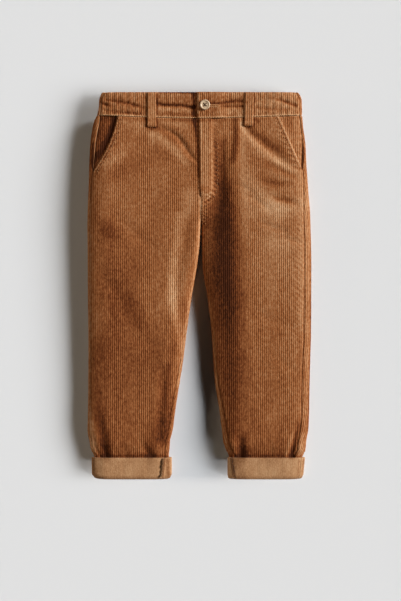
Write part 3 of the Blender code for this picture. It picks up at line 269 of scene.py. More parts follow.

# Nap brushed lighter (amount > 0) or darker and redder (amount < 0), together with painted light: painted
# shade on slopes and in creases, gaps and recesses turned from the light, painted shadows beside raised
# edges, and painted highlights on ridges and edges. Stations (x, y, amount, width).
NAP_AND_PAINTED_LIGHT = (
    # wearer's right leg: nap, with painted shade and highlights along its folds, its inner thigh and its
    # outer edge
    ((-84, 212, 0.05, 8), (-94, 195, 0.2, 7), (-108, 181, 0.35, 7), (-124, 170, 0.35, 7),
     (-140, 168, 0.2, 6)),
    ((-66, 216, -0.25, 5), (-80, 207, -0.25, 7), (-90, 199, -0.1, 7)),
    ((-70, 232, 0.3, 5), (-40, 226, 0.35, 5), (-18, 221, 0.3, 5)),
    ((-118, 150, -0.25, 8), (-96, 164, -0.15, 10), (-60, 181, -0.15, 9), (-36, 172, -0.15, 8)),
    ((-68, 130, 0.1, 16), (-52, 150, 0.1, 12)),
    ((-66, 209, 0.35, 6), (-50, 201, 0.4, 5), (-37, 189, 0.4, 5), (-18, 169, 0.35, 4)),
    ((-14, 128, 0.3, 8), (-16, 100, 0.3, 9)),
    ((-117, 230, -1.0, 3.5), (-124, 208, -1.1, 4.0), (-133, 190, -1.0, 3.5), (-147, 172, -0.8, 3.0)),
    ((-149, 228, -0.5, 3.5), (-152, 200, -0.6, 3.5), (-152, 170, -0.4, 3.5)),
    ((-153, 120, 0.35, 3.5), (-154, 0, 0.3, 3.5), (-153, -100, 0.4, 3.5), (-152, -200, 0.5, 3.5),
     (-147, -232, 0.5, 3.0)),
    ((-143, 150, 0.1, 6), (-145, 120, 0.0, 7), (-143, 92, -0.25, 10), (-126, 72, -0.35, 13)),
    ((-108, 14, -0.15, 12), (-97, -25, -0.3, 13), (-86, -48, -0.35, 11), (-75, -60, -0.1, 8)),
    ((-122, 80, -0.2, 16), (-122, 20, -0.35, 19), (-118, -40, -0.35, 19), (-124, -100, -0.3, 18),
     (-120, -160, -0.2, 16)),
    ((-62, -66, -0.1, 12), (-58, -90, -0.25, 13), (-60, -130, -0.1, 10)),
    ((-88, 66, -0.1, 18), (-82, 22, -0.2, 20), (-84, -22, -0.12, 18)),
    ((-25, -20, -0.15, 5), (-32, -62, -0.25, 6), (-41, -110, -0.3, 6), (-50, -160, -0.25, 6)),
    ((-28, 95, 0.3, 7), (-31, 60, 0.4, 7), (-36, 20, 0.6, 7.5), (-37, -15, 0.85, 8), (-34, -38, 0.65, 6.5),
     (-30, -60, 0.4, 6), (-27, -85, 0.2, 5)),
    ((-9, 95, -0.2, 6), (-15, 60, -0.1, 7), (-20, 20, 0.25, 6), (-22, -15, 0.1, 5), (-18, -50, -0.2, 5)),
    ((-140, -80, -0.3, 13), (-142, -150, -0.28, 12), (-138, -190, -0.25, 9)),
    ((-147, -190, 0.3, 4), (-144.5, -222, 0.45, 4)),
    ((-136, -175, -0.3, 9), (-132, -205, -0.65, 9), (-129, -236, -1.0, 7)),
    ((-47, -115, -0.2, 9), (-47, -150, -0.3, 9), (-51, -185, -0.7, 9), (-53, -212, -0.8, 8)),
    ((-66, -165, -0.1, 9), (-65, -190, -0.3, 9), (-66, -212, -0.45, 9), (-69, -236, -0.8, 9)),
    ((-36, -150, -0.3, 3), (-42, -185, -0.35, 3), (-46, -215, -0.3, 3)),
    ((-100, -225, -0.1, 12), (-95, -236, -0.3, 9)),
    ((-92, -90, -0.2, 42), (-94, -205, -0.1, 40)),
    # wearer's left leg: painted shade down the slope of the inner thigh, painted shade and highlights along
    # its folds and drag lines, and nap
    ((33, 200, -0.4, 5), (32, 180, -0.5, 6), (32, 160, -0.65, 8), (33, 140, -0.85, 11), (33, 115, -1.0, 15),
     (33, 90, -1.05, 19), (34, 40, -1.05, 22), (37, 0, -1.05, 23), (39, -50, -0.95, 21), (41, -90, -0.75, 19),
     (44, -150, -0.65, 16), (47, -200, -0.5, 12), (48, -232, -0.1, 8)),
    ((51, 230, -0.4, 4.5), (51, 215, -0.65, 5.0), (50, 195, -0.7, 5), (46, 175, -0.65, 5)),
    ((57, 225, 0.4, 5), (58, 200, 0.35, 5), (61, 160, 0.35, 6), (62, 110, 0.35, 7), (63, 60, 0.2, 6)),
    ((58, 224, 0.45, 4), (69, 204, 0.55, 5.5), (80, 192, 0.5, 6), (92, 182, 0.5, 6), (105, 173, 0.6, 6),
     (118, 164, 0.6, 5), (132, 156, 0.4, 5)),
    ((76, 99, 0.2, 8), (94, 106, 0.25, 8)),
    ((94, 136, -0.15, 9), (118, 122, -0.2, 9)),
    ((-62, 219, -0.25, 3), (-44, 209, -0.2, 3), (-28, 194, -0.2, 3)),
    ((72, 213, -0.4, 4), (84, 205, -0.5, 6), (98, 194, -0.6, 8), (110, 186, -0.5, 8), (122, 178, -0.25, 6)),
    ((95, 168, -0.35, 7), (110, 160, -0.5, 6), (130, 152, -0.35, 4)),
    ((84, 150, -0.2, 6), (104, 141, -0.6, 6), (124, 140, -0.35, 4)),
    ((104, 121, -0.25, 4), (120, 117, -0.6, 4), (135, 112, -0.35, 3.5)),
    ((70, 148, 0.2, 12), (85, 122, 0.45, 14), (110, 105, 0.5, 12), (138, 112, 0.4, 8)),
    ((118, 250, 0.1, 34), (112, 180, 0.25, 34), (108, 90, 0.35, 36), (106, 20, 0.22, 36),
     (104, -50, 0.0, 34), (100, -130, -0.05, 34)),
    ((141, 150, 0.3, 7), (143, 110, 0.35, 7), (141, 60, 0.35, 6), (141, 0, 0.35, 5), (140, -60, 0.3, 5)),
    ((151, 130, 0.25, 5), (150, 0, 0.25, 5), (149, -120, 0.2, 5), (146, -190, 0.1, 5)),
    ((154.4, 110, -0.5, 1.6), (154.6, 0, -0.5, 1.6), (152.8, -110, -0.5, 1.6), (150, -200, -0.4, 1.6)),
    ((95, 60, 0.2, 10), (118, 58, 0.25, 10)),
    ((60, -100, -0.2, 9), (66, -150, -0.15, 12), (74, -190, -0.25, 15), (84, -222, -0.2, 16)),
    ((126, 60, 0.1, 14), (126, -60, 0.12, 14), (124, -160, 0.1, 14)),
    ((110, -190, -0.15, 7), (112, -232, -0.35, 7)),
    ((143, -205, 0.3, 4), (138.5, -232, 0.5, 4)),
    ((60, -206, -0.4, 6), (60, -222, -0.8, 7), (59, -236, -1.25, 7)),
    ((64, -228, -0.3, 6), (92, -236, -0.3, 6)),
    ((136.5, -190, -0.5, 3), (131.5, -213, -0.8, 3.4), (127, -236, -1.15, 4.2)),
    ((131.5, -200, 0.25, 2.5), (125, -218, 0.4, 2.5), (119.5, -233, 0.4, 2.5)),
    ((100, -225, -0.1, 18), (108, -236, -0.2, 16)),
    # painted shade in the recess above the turn-ups
    ((-142, -235.5, -0.6, 2.5), (-46, -235.5, -0.6, 2.5)),
    ((45, -235.5, -0.6, 2.5), (140, -235.5, -0.6, 2.5)),
    # waistband: painted shade in its creases, along its top edge and below its seam; painted highlights on
    # its rounded top, and a lighter line along the stitched row
    ((-137, 252.5, -0.9, 2.0), (-124, 249, -0.6, 2.0)),
    ((-126, 256, -0.5, 1.8), (-112, 254, -0.8, 1.8), (-98, 252, -0.8, 1.8), (-88, 248.6, -0.8, 1.8),
     (-78, 246, -0.5, 1.8)),
    ((-128, 241, -0.4, 2.0), (-98, 238.5, -0.6, 2.0), (-82, 237.5, -0.4, 2.0)),
    ((-60, 252.5, -0.7, 2.0), (-50, 249.6, -1.1, 1.8), (-28, 249.4, -1.0, 1.8), (-16, 247.8, -1.1, 1.8),
     (-6, 246.6, -1.1, 1.8)),
    ((-55, 243.5, 0.4, 3.0), (-34, 242.5, 0.4, 3.0), (-14, 241.0, 0.3, 3.0)),
    ((26, 251.6, -0.7, 1.6), (34, 252.6, -1.0, 1.6), (44, 254.6, -1.0, 1.6), (60, 255, -0.7, 1.6)),
    ((30, 247.4, -0.5, 1.5), (60, 247.8, -0.7, 1.5)),
    ((80, 246, -0.4, 2.0), (100, 244, -0.5, 2.0), (122, 243, -0.3, 2.0)),
    ((106, 257.5, -0.5, 1.8), (118, 254.2, -0.9, 1.8), (133, 249, -0.9, 1.8)),
    ((30, 240, 0.3, 6), (60, 241, 0.3, 6)),
    ((-134, 264.5, 0.25, 3.2), (-80, 264.5, 0.3, 3.2), (-12, 264.5, 0.25, 3.2)),
    ((6, 264.5, 0.25, 3.2), (134, 264.5, 0.25, 3.2)),
    ((-56, 267.0, -0.5, 1.0), (-30, 267.0, -0.9, 1.2), (-7, 267.0, -1.2, 1.5)),
    ((76, 252, 0.3, 17), (138, 250, 0.3, 17)),
    ((-138, 232.0, -0.4, 1.6), (-60, 228.8, -0.45, 2.0), (0, 227.8, -0.5, 2.0), (60, 229.0, -0.25, 1.4),
     (138, 232.6, -0.2, 1.4)),
    ((-50, 238, -0.2, 3.0), (-12, 237, -0.25, 3.0)),
    ((-138, 236.2, 0.7, 1.3), (-60, 233.2, 0.7, 1.3), (0, 232.0, 0.8, 1.3), (60, 233.2, 0.9, 1.3),
     (138, 236.2, 0.9, 1.3)),
    # fly and pockets: painted shadows beside the fly's lap, in the pocket mouths and round the belt loops'
    # feet, painted shade in the buttonhole slit, and painted highlights on the edges of the lap, the mouths
    # and the inseams
    ((-8.6, 266, -1.0, 2.8), (-8.0, 246, -0.7, 2.2), (-8.2, 237, -1.1, 3.2), (-6.4, 226, -1.2, 3.0),
     (-3.4, 205, -0.8, 1.8), (-1.6, 150, -0.6, 1.5)),
    ((-2.0, 266, 0.6, 1.3), (-2.0, 238, 0.6, 1.3)),
    ((2.2, 226, 0.5, 1.8), (3.2, 180, 0.5, 1.6), (4.0, 140, 0.5, 1.6)),
    ((8.5, 226, 0.3, 5), (9.5, 180, 0.4, 5), (9.5, 142, 0.35, 5)),
    ((10, 110, -0.2, 6), (10, 84, -0.3, 6)),
    ((123, 227, -0.4, 6), (129, 214, -0.2, 6)),
    ((-135, 224, -0.12, 4), (-139, 210, -0.25, 5)),
    ((17.5, 226, 0.25, 1.4), (17.5, 170, 0.45, 1.4), (17.0, 134, 0.4, 1.4), (13.0, 122, 0.3, 1.4),
     (6.0, 117, 0.2, 1.4)),
    ((22.5, 210, -0.2, 3.0), (23.0, 180, -0.5, 3.5), (23.0, 140, -0.4, 4.0)),
    ((2.8, 117, 0.6, 1.2), (2.6, 92, 0.5, 1.2)),
    ((3.5, 127, 0.5, 2.0), (12, 124.5, 0.45, 3.0), (18, 127, 0.3, 3.0)),
    ((0.6, 126, 0.5, 1.2), (0.9, 96, 0.6, 1.2), (-0.4, 78, 0.5, 1.4), (-1.4, 56, 0.4, 1.5),
     (-5.2, 28, 0.4, 1.5),
     (-12.6, -15, 0.45, 1.6), (-20.2, -68, 0.6, 1.6), (-30.0, -137, 0.5, 1.6)),
    ((13.5, -20, 0.3, 1.3), (19.2, -68, 0.4, 1.3), (24.2, -137, 0.5, 1.3), (33.0, -199, 0.45, 1.3),
     (38.2, -226, 0.4, 1.3)),
    ((13, 251.8, -0.9, 0.9), (26, 251.4, -0.7, 0.9)),
    ((-73.4, 233, -0.7, 1.3), (-73.0, 219, -0.8, 1.3), (-66, 216.6, -0.9, 1.3), (-59.0, 219, -0.8, 1.3),
     (-59.0, 232, -0.5, 1.3)),
    ((60.8, 233, -0.7, 1.3), (61.2, 220, -0.8, 1.3), (67.5, 218.0, -0.9, 1.3), (75.0, 220.5, -0.8, 1.3),
     (76.0, 232, -0.5, 1.3)),
    ((-58.7, 265, -0.6, 1.2), (-58.7, 236, -0.6, 1.2)),
    ((75.8, 265, -0.5, 1.2), (76.2, 236, -0.5, 1.2)),
    ((79, 229, -0.6, 3), (82, 226, -0.4, 2.5)),
    ((-108, 229, 0.2, 8), (-84, 224, 0.35, 9), (-66, 205, 0.25, 9)),
    ((-114.5, 230, 0.5, 1.6), (-119.5, 210, 0.5, 1.6), (-128.5, 190, 0.5, 1.6), (-146.5, 156, 0.4, 1.6)),
    ((-108.5, 230, -0.35, 1.5), (-114.0, 208, -0.4, 1.5), (-124.0, 188, -0.4, 1.5), (-142, 155, -0.35, 1.5)),
    ((109.0, 232, 0.8, 1.2), (119.5, 208, 0.9, 1.2), (131, 182, 0.9, 1.2), (141, 160, 0.8, 1.2)),
    ((106.8, 232, -0.45, 1.1), (117.3, 208, -0.5, 1.1), (128.8, 182, -0.5, 1.1), (138.5, 161, -0.4, 1.1)),
    ((-146.5, 196, -1.0, 1.6), (-148, 162, -1.2, 1.6)),
    ((143.5, 194, -0.8, 1.4), (143, 178, -1.4, 1.6), (141, 162, -1.2, 1.5)),
    # turn-ups: painted shade on their sides turned from the light, beside the overlocked edges and along the
    # folds, and painted highlights on their top edges
    ((-148, -240, -0.5, 6), (-147, -264, -0.5, 6)),
    ((41.5, -240, 0.5, 1.4), (42.5, -262, 0.5, 1.6)),
    ((44.8, -239, -1.4, 1.5), (45.6, -250, -1.4, 1.7), (49.0, -266, -1.3, 1.5)),
    ((51, -242, -0.55, 6), (57, -262, -0.5, 8)),
    ((-48.5, -239, -0.9, 1.6), (-51.0, -266, -0.9, 1.6)),
    ((-44, -241, -0.9, 3.2), (-43.0, -264, -1.0, 3.0)),
    ((137.5, -240, -0.7, 1.2), (136.0, -264, -0.7, 1.2)),
    ((144.5, -241, -0.7, 1.8), (142.0, -264, -0.7, 1.8)),
    ((-146, -239.3, 0.35, 1.2), (-56, -239.3, 0.35, 1.2)),
    ((55, -239.3, 0.35, 1.2), (142, -239.3, 0.35, 1.2)),
    ((92, -252, 0.15, 24), (143, -252, 0.15, 24)),
    ((-140, -266.6, -0.6, 1.5), (-56, -266.6, -0.6, 1.5)),
    ((54, -266.6, -0.5, 1.5), (140, -266.6, -0.5, 1.5)),
)

# The underside has the wide patches of nap and painted light alone, and fainter.
UNDERSIDE_NAP_AND_PAINTED_LIGHT = tuple(row for row in NAP_AND_PAINTED_LIGHT if row[0][3] >= 9.0)
UNDERSIDE_SHARE = 0.7
UNDERSIDE_RISE = (1.0, 3.5)  # heights above the floor between which the top's strokes take over

# Small slanted puckers along the stitched lines: stations, distance between puckers, and their slant.
PUCKER_LINES = (
    (((23, 226, 0.20, 4.5), (23.5, 190, 0.38, 5), (23.5, 150, 0.42, 5), (19, 126, 0.55, 5)), 6.2, 0.55),
    (((12, 124, 0.7, 6), (7, 112, 0.6, 5), (6, 92, 0.45, 5)), 4.6, 0.5),
    (((-108, 229, 0.25, 4), (-115, 205, 0.35, 4), (-126, 184, 0.35, 4), (-144, 156, 0.3, 4)), 6.4, -0.4),
    (((104, 229, 0.25, 4), (115, 205, 0.4, 4), (127, 178, 0.4, 4), (136, 160, 0.35, 4)), 6.4, 0.4),
    (((136, 110, 0.15, 6), (137, 30, 0.30, 7), (136, -30, 0.28, 7), (136, -90, 0.1, 6)), 7.0, 0.8),
    (((-120, 239.5, 0.25, 4), (-80, 237.0, 0.25, 4), (60, 237.0, 0.2, 4), (130, 240, 0.3, 4)), 7.5, 2.2),
)

# Waistband.
BAND_WALL = 2.0
BAND_ROW_STEP = 1.9
BAND_EDGE = ((1.3, 0.05), (0.6, 0.28), (0.2, 0.6), (0.0, 0.9))  # round top edge: (below it, sink)
BAND_LAP_X = -3.2
BAND_UNDER_X = 20.0
BAND_LIFT = BAND_WALL + GAP + 0.2  # of the lap over the end below it
BAND_LIFT_FLAT_X = 24.0
BAND_LIFT_SLOPE = 20.0
BAND_BACK_CORD = 0.8  # share of the cord's height on the stretched back
GATHER_PITCH = 10.0
GATHER_HEIGHT = 0.7
GATHER_FRONT_P = (72.0, 92.0)  # the front's gathers grow between these distances
GATHER_FRONT_SHARE = 0.35

# Turn-ups.
CUFF_COLUMNS = ("outer", "outer_fold", "inner", "side_seam", "inseam_top", "inseam_fold", "corner")
CUFFS = {
    -1: dict(zip(CUFF_COLUMNS, (149.8, 149.2, 38.4, 3.0, 9.7, 12.5, 8.5))),
    1: dict(zip(CUFF_COLUMNS, (146.2, 143.4, 38.6, 5.5, 3.0, 7.0, 5.0))),
}
CUFF_CROWN = 14.6
CUFF_CORNER = 6.0
CUFF_INNER_CORNER = 0.6  # share of the corner that the inner edge has
CUFF_LAYER = 1.5
CUFF_SLIT = 1.4  # between the turned layer and the leg's end
CUFF_SLIT_RISE = 3.2  # the slit's end, above the fold
CUFF_SLIT_ROUND = 0.8
CUFF_FOLD_ROUND = 2.6
CUFF_EDGE = ((0.0, 0.45, 0.35), (0.4, 0.12, 0.1), (1.0, 0.0, 0.0))  # (below the top, sink, thinner by)
CUFF_ROUND = 24.0
CUFF_POINTS = {"front": 96, "back": 110}  # across each half
CUFF_INNER_POINTS = 24
ALLOWANCE_WIDTH = 5.4
ALLOWANCE_WALL = 1.0
ALLOWANCE_TOP = GAP + ALLOWANCE_WALL + 0.1  # above the turn-up's skin
ALLOWANCE_POINTS = 14  # across it, in each of its rows
ALLOWANCE_ROWS = 24
OVERLOCK_PITCH = 1.6

# Belt loops.
LOOP_WIDTH = 11.6
LOOP_THICK = 1.1
LOOP_CORDS = 4
LOOP_ROWS = 24
LOOP_BOW = ((WAIST_Y - 0.2, 0.6), (262.0, 0.7), (250.0, 0.8), (238.0, 0.8))  # (y, above the cloth)
LOOP_STITCH_X = (-4.5, 4.5)
Loop = namedtuple("Loop", "name x lean end_y")
FRONT_LOOPS = (
    Loop("belt_loop_front_right", -65.9, 0.0, 219.2),
    Loop("belt_loop_front_left", 69.0, -1.2, 220.6),
)
BACK_LOOPS = (
    Loop("belt_loop_side_right", -92.0, 0.0, 220.0),
    Loop("belt_loop_back", CENTRE_X, 0.0, 220.0),
    Loop("belt_loop_side_left", 95.4, 0.0, 220.0),
)

# Button.
BUTTON_AT = (7.4, 249.3)
BUTTON_DIAMETER = 14.0
BUTTON_HOLE = 1.9
BUTTON_HOLE_SPACING = 3.6
BUTTON_RIM = (  # (in from the widest point, height), from the underside over the rim
    (1.6, 0.0), (0.9, 0.15), (0.35, 0.6), (0.05, 1.2), (0.0, 1.6), (0.15, 2.05), (0.5, 2.42),
    (0.95, 2.6), (1.4, 2.55), (1.8, 2.3), (2.1, 2.0), (2.5, 1.88),
)
BUTTONHOLE_X = (13.0, 26.2)  # of its first stitches, and of its end

# Thread.
STITCH_LENGTH = 2.7
STITCH_SPACE = 0.7
THREAD = 0.55
STITCH_SIDES = 6
STITCH_RINGS = ((0.0, 0.45), (0.14, 0.9), (0.5, 1.0), (0.86, 0.9), (1.0, 0.45))  # (along it, thickness)
FLY_ROWS = (19.6, 24.6)  # x of the fly's two rows, which end in a J
FLY_ROW_TOP_Y = 231.0
FLY_BEND = (3.0, 140.0)  # centre of the J
FLY_BEND_DROP = 1.35  # its depth, as a share of its width
FLY_TACK_Y = 127.0
POCKET_ROW_TOP_Y = 231.5
CENTRE_ROWS = (4.2, 8.2)
CENTRE_ROW_Y = (112.0, 84.0)
BAND_ROW_X = ((-134.0, -3.0), (-1.0, 136.0))

# Floor, lights and camera, in metres and degrees.
FLOOR_HALF = 4.0
FLOOR_Z = -0.0002
FLOOR_GREY = (0.52, 0.52, 0.52, 1.0)
# Each light: name, azimuth, elevation, strength, angle and colour.
CLOTH_LIGHTS = (
    ("key", 18.0, 23.0, 5.2, 16.0, (1.0, 0.99, 0.975)),
    ("fill", 165.0, 48.0, 0.88, 90.0, (1.0, 0.88, 0.72)),
)
LOW_FILL = ("low_fill", 178.0, 8.0, 4.4, 14.0, (1.0, 0.83, 0.64))
# The soft box low beside the garment, as directions over the floor: azimuth, and which of the thin
# ends of the garment shade it too.
WAIST_END = ("waistband", "belt_loop", "button")
HEM_END = ("turn_up", "inseam", "overlock")
LOW_KEYS = ((-26, HEM_END), (-13, WAIST_END), (0, WAIST_END + HEM_END), (13, WAIST_END), (26, ()))
LOW_KEY = (15.4, 15.35 / len(LOW_KEYS), 18.0, (0.943, 0.970, 1.0))  # elevation, strength, angle, colour
WORLD_COLOUR = (1.0, 0.86, 0.70, 1.0)
WORLD_STRENGTH = 0.02
CAMERA_AT = (0.0013, -0.0203, 1.973)

# Keys of the first and the last point of every row, and one past them.
FIRST = -1.0e9
LAST = 1.0e9
PAST = 2.0e9


# ---------------------------------------------------------------- curves and skin

class Curve:
    """A smooth curve through a table's column that never overshoots its points."""

    def __init__(self, table, columns, column):
        place = columns.index(column)
        rows = sorted(table)
        self.x = np.array([row[0] for row in rows])
        self.v = np.array([row[place] for row in rows])
        rise = np.diff(self.v) / np.diff(self.x)
        turn = rise[1:] * rise[:-1]
        total = np.where(turn > 0.0, rise[1:] + rise[:-1], 1.0)
        inner = np.where(turn > 0.0, 2.0 * turn / total, 0.0)
        self.slope = np.concatenate((rise[:1], inner, rise[-1:]))

    def __call__(self, x):
        x = np.clip(x, self.x[0], self.x[-1])
        i = np.clip(np.searchsorted(self.x, x) - 1, 0, len(self.x) - 2)
        h = self.x[i + 1] - self.x[i]
        t = (x - self.x[i]) / h
        first = self.v[i] * (1.0 + 2.0 * t) + h * self.slope[i] * t
        last = self.v[i + 1] * (3.0 - 2.0 * t) - h * self.slope[i + 1] * (1.0 - t)
        return first * (1.0 - t) ** 2 + last * t ** 2


def curves(table, columns):
    """A curve for each column of a table, along the table's first one."""
    return {column: Curve(table, columns, column) for column in columns[1:]}


outline = curves(OUTLINE, OUTLINE_COLUMNS)
form = curves(FORM, FORM_COLUMNS)
seams = curves(SEAMS, SEAM_COLUMNS)
fly = curves(FLY, FLY_COLUMNS)


def smooth(t):
    """0 below t = 0, 1 above t = 1, and a soft step between."""
    t = np.clip(t, 0.0, 1.0)
    return t * t * (3.0 - 2.0 * t)


def wander(t, seed):
    """Slow, even-handed variation between about -1 and 1."""
    return (0.5 * np.sin(t + 1.7 * seed) + 0.3 * np.sin(2.3 * t + 4.1 * seed)
            + 0.2 * np.sin(3.9 * t + 2.9 * seed))


def near(off, reach):
    """1 at no distance, fading away over the reach."""
    return np.exp(-(off / reach) ** 2)


def section(side, y):
    """Sizes of one half's section at y. p is the distance from x = 0 towards that side."""
    name = NAMES[side]
    crown, floor = form["crown"](y), form["floor"](y)
    return SimpleNamespace(
        outer=side * outline["side_" + name](y), inner=side * outline["inner_" + name](y),
        side_seam=seams["side_" + name](y), inseam=seams["inseam_" + name](y),
        crown=crown, floor=floor, level=floor + SIDE_LEVEL * (crown - floor),
        round_outer=ROUND_OUTER, round_inner=form["inner_" + name](y), slope=SLOPE[side],
        closed=round(float(form["closed"](y)), 6))


def cuff_section(side, y):
    """Sizes of one turn-up's section at y, with round corners at the fold."""
    cuff = CUFFS[side]
    share = (CUFF_TOP_Y - y) / (CUFF_TOP_Y - CUFF_FOLD_Y)
    past = max(0.0, CUFF_FOLD_Y + cuff["corner"] - y)
    corner = cuff["corner"] - math.sqrt(max(0.0, cuff["corner"] ** 2 - past ** 2))
    return SimpleNamespace(
        outer=cuff["outer"] + share * (cuff["outer_fold"] - cuff["outer"]) - corner,
        inner=cuff["inner"] + CUFF_INNER_CORNER * corner, side_seam=cuff["side_seam"],
        inseam=cuff["inseam_top"] + share * (cuff["inseam_fold"] - cuff["inseam_top"]),
        crown=CUFF_CROWN, floor=0.0, level=SIDE_LEVEL * CUFF_CROWN,
        round_outer=CUFF_ROUND, round_inner=CUFF_ROUND, slope=ELLIPSE, closed=1.0)


def rise(turn, slope):
    """Share of the height reached along an inner thigh, 0 at its edge and 1 at the crown."""
    return (1.0 - np.cos(turn) ** slope[0]) ** (1.0 / slope[1])


def stroke(stations, x, y):
    """The amount at the nearest point of a run of (x, y, amount, width), fading away over the width."""
    best = np.full(np.shape(x), 1.0e9)
    amount, width = np.zeros(np.shape(x)), np.ones(np.shape(x))
    rows = np.array(stations, float)
    for start, stop in zip(rows, rows[1:]):
        run = stop[:2] - start[:2]
        share = np.clip(((x - start[0]) * run[0] + (y - start[1]) * run[1]) / (run @ run), 0.0, 1.0)
        off = np.hypot(x - start[0] - share * run[0], y - start[1] - share * run[1])
        nearer = off < best
        best = np.where(nearer, off, best)
        amount = np.where(nearer, start[2] + share * (stop[2] - start[2]), amount)
        width = np.where(nearer, start[3] + share * (stop[3] - start[3]), width)
    return amount * near(best, width)


def strokes(table, x, y):
    """All the strokes of a table, added up. For a single row y, those far from it are left out."""
    total = np.zeros(np.shape(x))
    for stations in table:
        if np.ndim(y) == 0:
            reach = STROKE_REACH * max(row[3] for row in stations)
            places = [row[1] for row in stations]
            if not min(places) - reach < y < max(places) + reach:
                continue
        total = total + stroke(stations, x, y)
    return total


def pucker(x, y):
    """Height of the puckers beside the stitched lines."""
    total = np.zeros(np.shape(x))
    for k, (stations, pitch, slant) in enumerate(PUCKER_LINES):
        wave = np.sin(TURN * (y + slant * x) / pitch + 1.6 * wander((y + x) / 19.0, k + 1.0))
        total = total + wave * strokes((stations,), x, y)
    return total


def lengths(p, z):
    """Arc length from the first point to each."""
    return np.concatenate(((0.0,), np.cumsum(np.hypot(np.diff(p), np.diff(z)))))


class Run:
    """A curve across the garment at one y: arc length s, distance p, height z, outward normal."""

    def __init__(self, p, z, s, out):
        self.p, self.z, self.s = p, z, s
        slope_p, slope_z = np.gradient(p), np.gradient(z)
        size = np.hypot(slope_p, slope_z)
        self.normal_p = -out * slope_z / size
        self.normal_z = out * slope_p / size

    def at(self, s, away=0.0):
        """The p and z at arc length s, moved outwards."""
        p, z, normal_p, normal_z = (np.interp(s, self.s, values) for values in
                                    (self.p, self.z, self.normal_p, self.normal_z))
        size = np.hypot(normal_p, normal_z)
        return p + away * normal_p / size, z + away * normal_z / size

    def s_at(self, p):
        order = np.argsort(self.p)
        return float(np.interp(p, self.p[order], self.s[order]))


def across(sizes, inner_p, inner_z, flat_z, outer_round, outer_count, middle_count):
    """A section from its inner curve over a flat stretch to the widest point.

    Returns p, z and the arc length of the first point, counted from the grain's zero.
    """
    turn = np.linspace(QUARTER, 0.0, outer_count)
    outer_p = sizes.outer - outer_round * (1.0 - np.cos(turn))
    outer_z = sizes.level + (flat_z - sizes.level) * np.sin(turn)
    middle_p = np.linspace(inner_p[-1], outer_p[0], middle_count)[1:-1]
    p = np.concatenate((inner_p, middle_p, outer_p))
    z = np.concatenate((inner_z, np.full(len(middle_p), flat_z), outer_z))
    apart = np.hypot(np.diff(p, prepend=p[0] - 1.0), np.diff(z, prepend=z[0])) > 1.0e-4
    p, z = p[apart], z[apart]
    order = np.argsort(p)
    return p, z, -np.interp(GRAIN_P, p[order], lengths(p, z)[order])


def fold_weight(z, sizes):
    """Folds fade out towards the widest points."""
    return smooth(FOLD_FADE * (z - sizes.level) / (sizes.crown - sizes.level))


def fly_lift(x, y):
    """How far the fly's lap raises the left front."""
    return fly["lift"](y) * (1.0 - smooth((x - fly["lap_edge"](y) - LAP_FLAT) / LAP_SLOPE))


def band_lift(x, y):
    """How far the end below it raises the left front waistband. It is the same at each y."""
    return BAND_LIFT * (1.0 - smooth((x - BAND_LIFT_FLAT_X) / BAND_LIFT_SLOPE))


def top_run(side, y, sizes, folds=(), lift=None, reach=0.0):
    """The top skin of one half, from its inner edge to its widest point."""
    end = QUARTER * (1.0 - sizes.closed)
    turn = np.linspace(end, QUARTER, 40)
    inner_p = sizes.inner + sizes.round_inner * (math.cos(end) - np.cos(turn))
    inner_z = sizes.level + (sizes.crown - sizes.level) * rise(turn, sizes.slope)
    if sizes.closed == 0.0:
        inner_p = np.linspace(sizes.inner - reach, sizes.inner, 24)
        inner_z = np.full_like(inner_p, sizes.crown)
    p, z, zero = across(sizes, inner_p, inner_z, sizes.crown, sizes.round_outer, 60, 160)
    s = lengths(p, z) + zero
    z = z - fold_weight(z, sizes) * strokes(folds, side * p, y)
    if lift is not None:
        z = z + lift(side * p, y)
    return Run(p, z, s, 1.0)


def under_run(side, y, sizes, folds=()):
    """The back's skin, from the inseam or centre back, under the garment and up to the side seam."""
    height = sizes.crown - sizes.level
    end = QUARTER * (1.0 - sizes.closed)
    turn = np.linspace(end, QUARTER, 30)
    under = min(ROUND_UNDER, ROUND_UNDER_LEAST + ROUND_UNDER_SHARE * sizes.round_inner)
    inner_p = sizes.inner + under * (math.cos(end) - np.cos(turn))
    inner_z = sizes.level + (sizes.floor - sizes.level) * np.sin(turn)
    if sizes.closed == 0.0:
        inner_p = np.linspace(sizes.inner, sizes.inner + 4.0, 6)
        inner_z = np.full_like(inner_p, sizes.floor)
    p, z, zero = across(sizes, inner_p, inner_z, sizes.floor, ROUND_UNDER, 30, 90)
    turn = np.linspace(0.0, math.acos(1.0 - sizes.side_seam / sizes.round_outer), 20)[1:]
    p = np.concatenate((p, sizes.outer - sizes.round_outer * (1.0 - np.cos(turn))))
    z = np.concatenate((z, sizes.level + height * np.sin(turn)))
    if sizes.inseam > 0.0 and sizes.closed == 1.0:
        turn = np.linspace(math.acos(1.0 - sizes.inseam / sizes.round_inner), 0.0, 14)[:-1]
        p = np.concatenate((sizes.inner + sizes.round_inner * (1.0 - np.cos(turn)), p))
        z = np.concatenate((sizes.level + height * rise(turn, sizes.slope), z))
        zero -= lengths(p, z)[len(turn)]
    s = lengths(p, z) + zero
    z = z - np.where(z > sizes.level, fold_weight(z, sizes) * strokes(folds, side * p, y), 0.0)
    return Run(p, z, s, -1.0)


def warp(x, y):
    """Bend the rows near the waistband seam, which hangs lowest at the fly."""
    beside = smooth(1.0 - np.abs(y - BAND_SEAM_Y) / SEAM_DIP_REACH)
    share = np.minimum(1.0, np.abs(x) / SEAM_DIP_HALF)
    return y + beside * SEAM_DIP * (share ** 1.5 - SEAM_DIP_SHIFT)


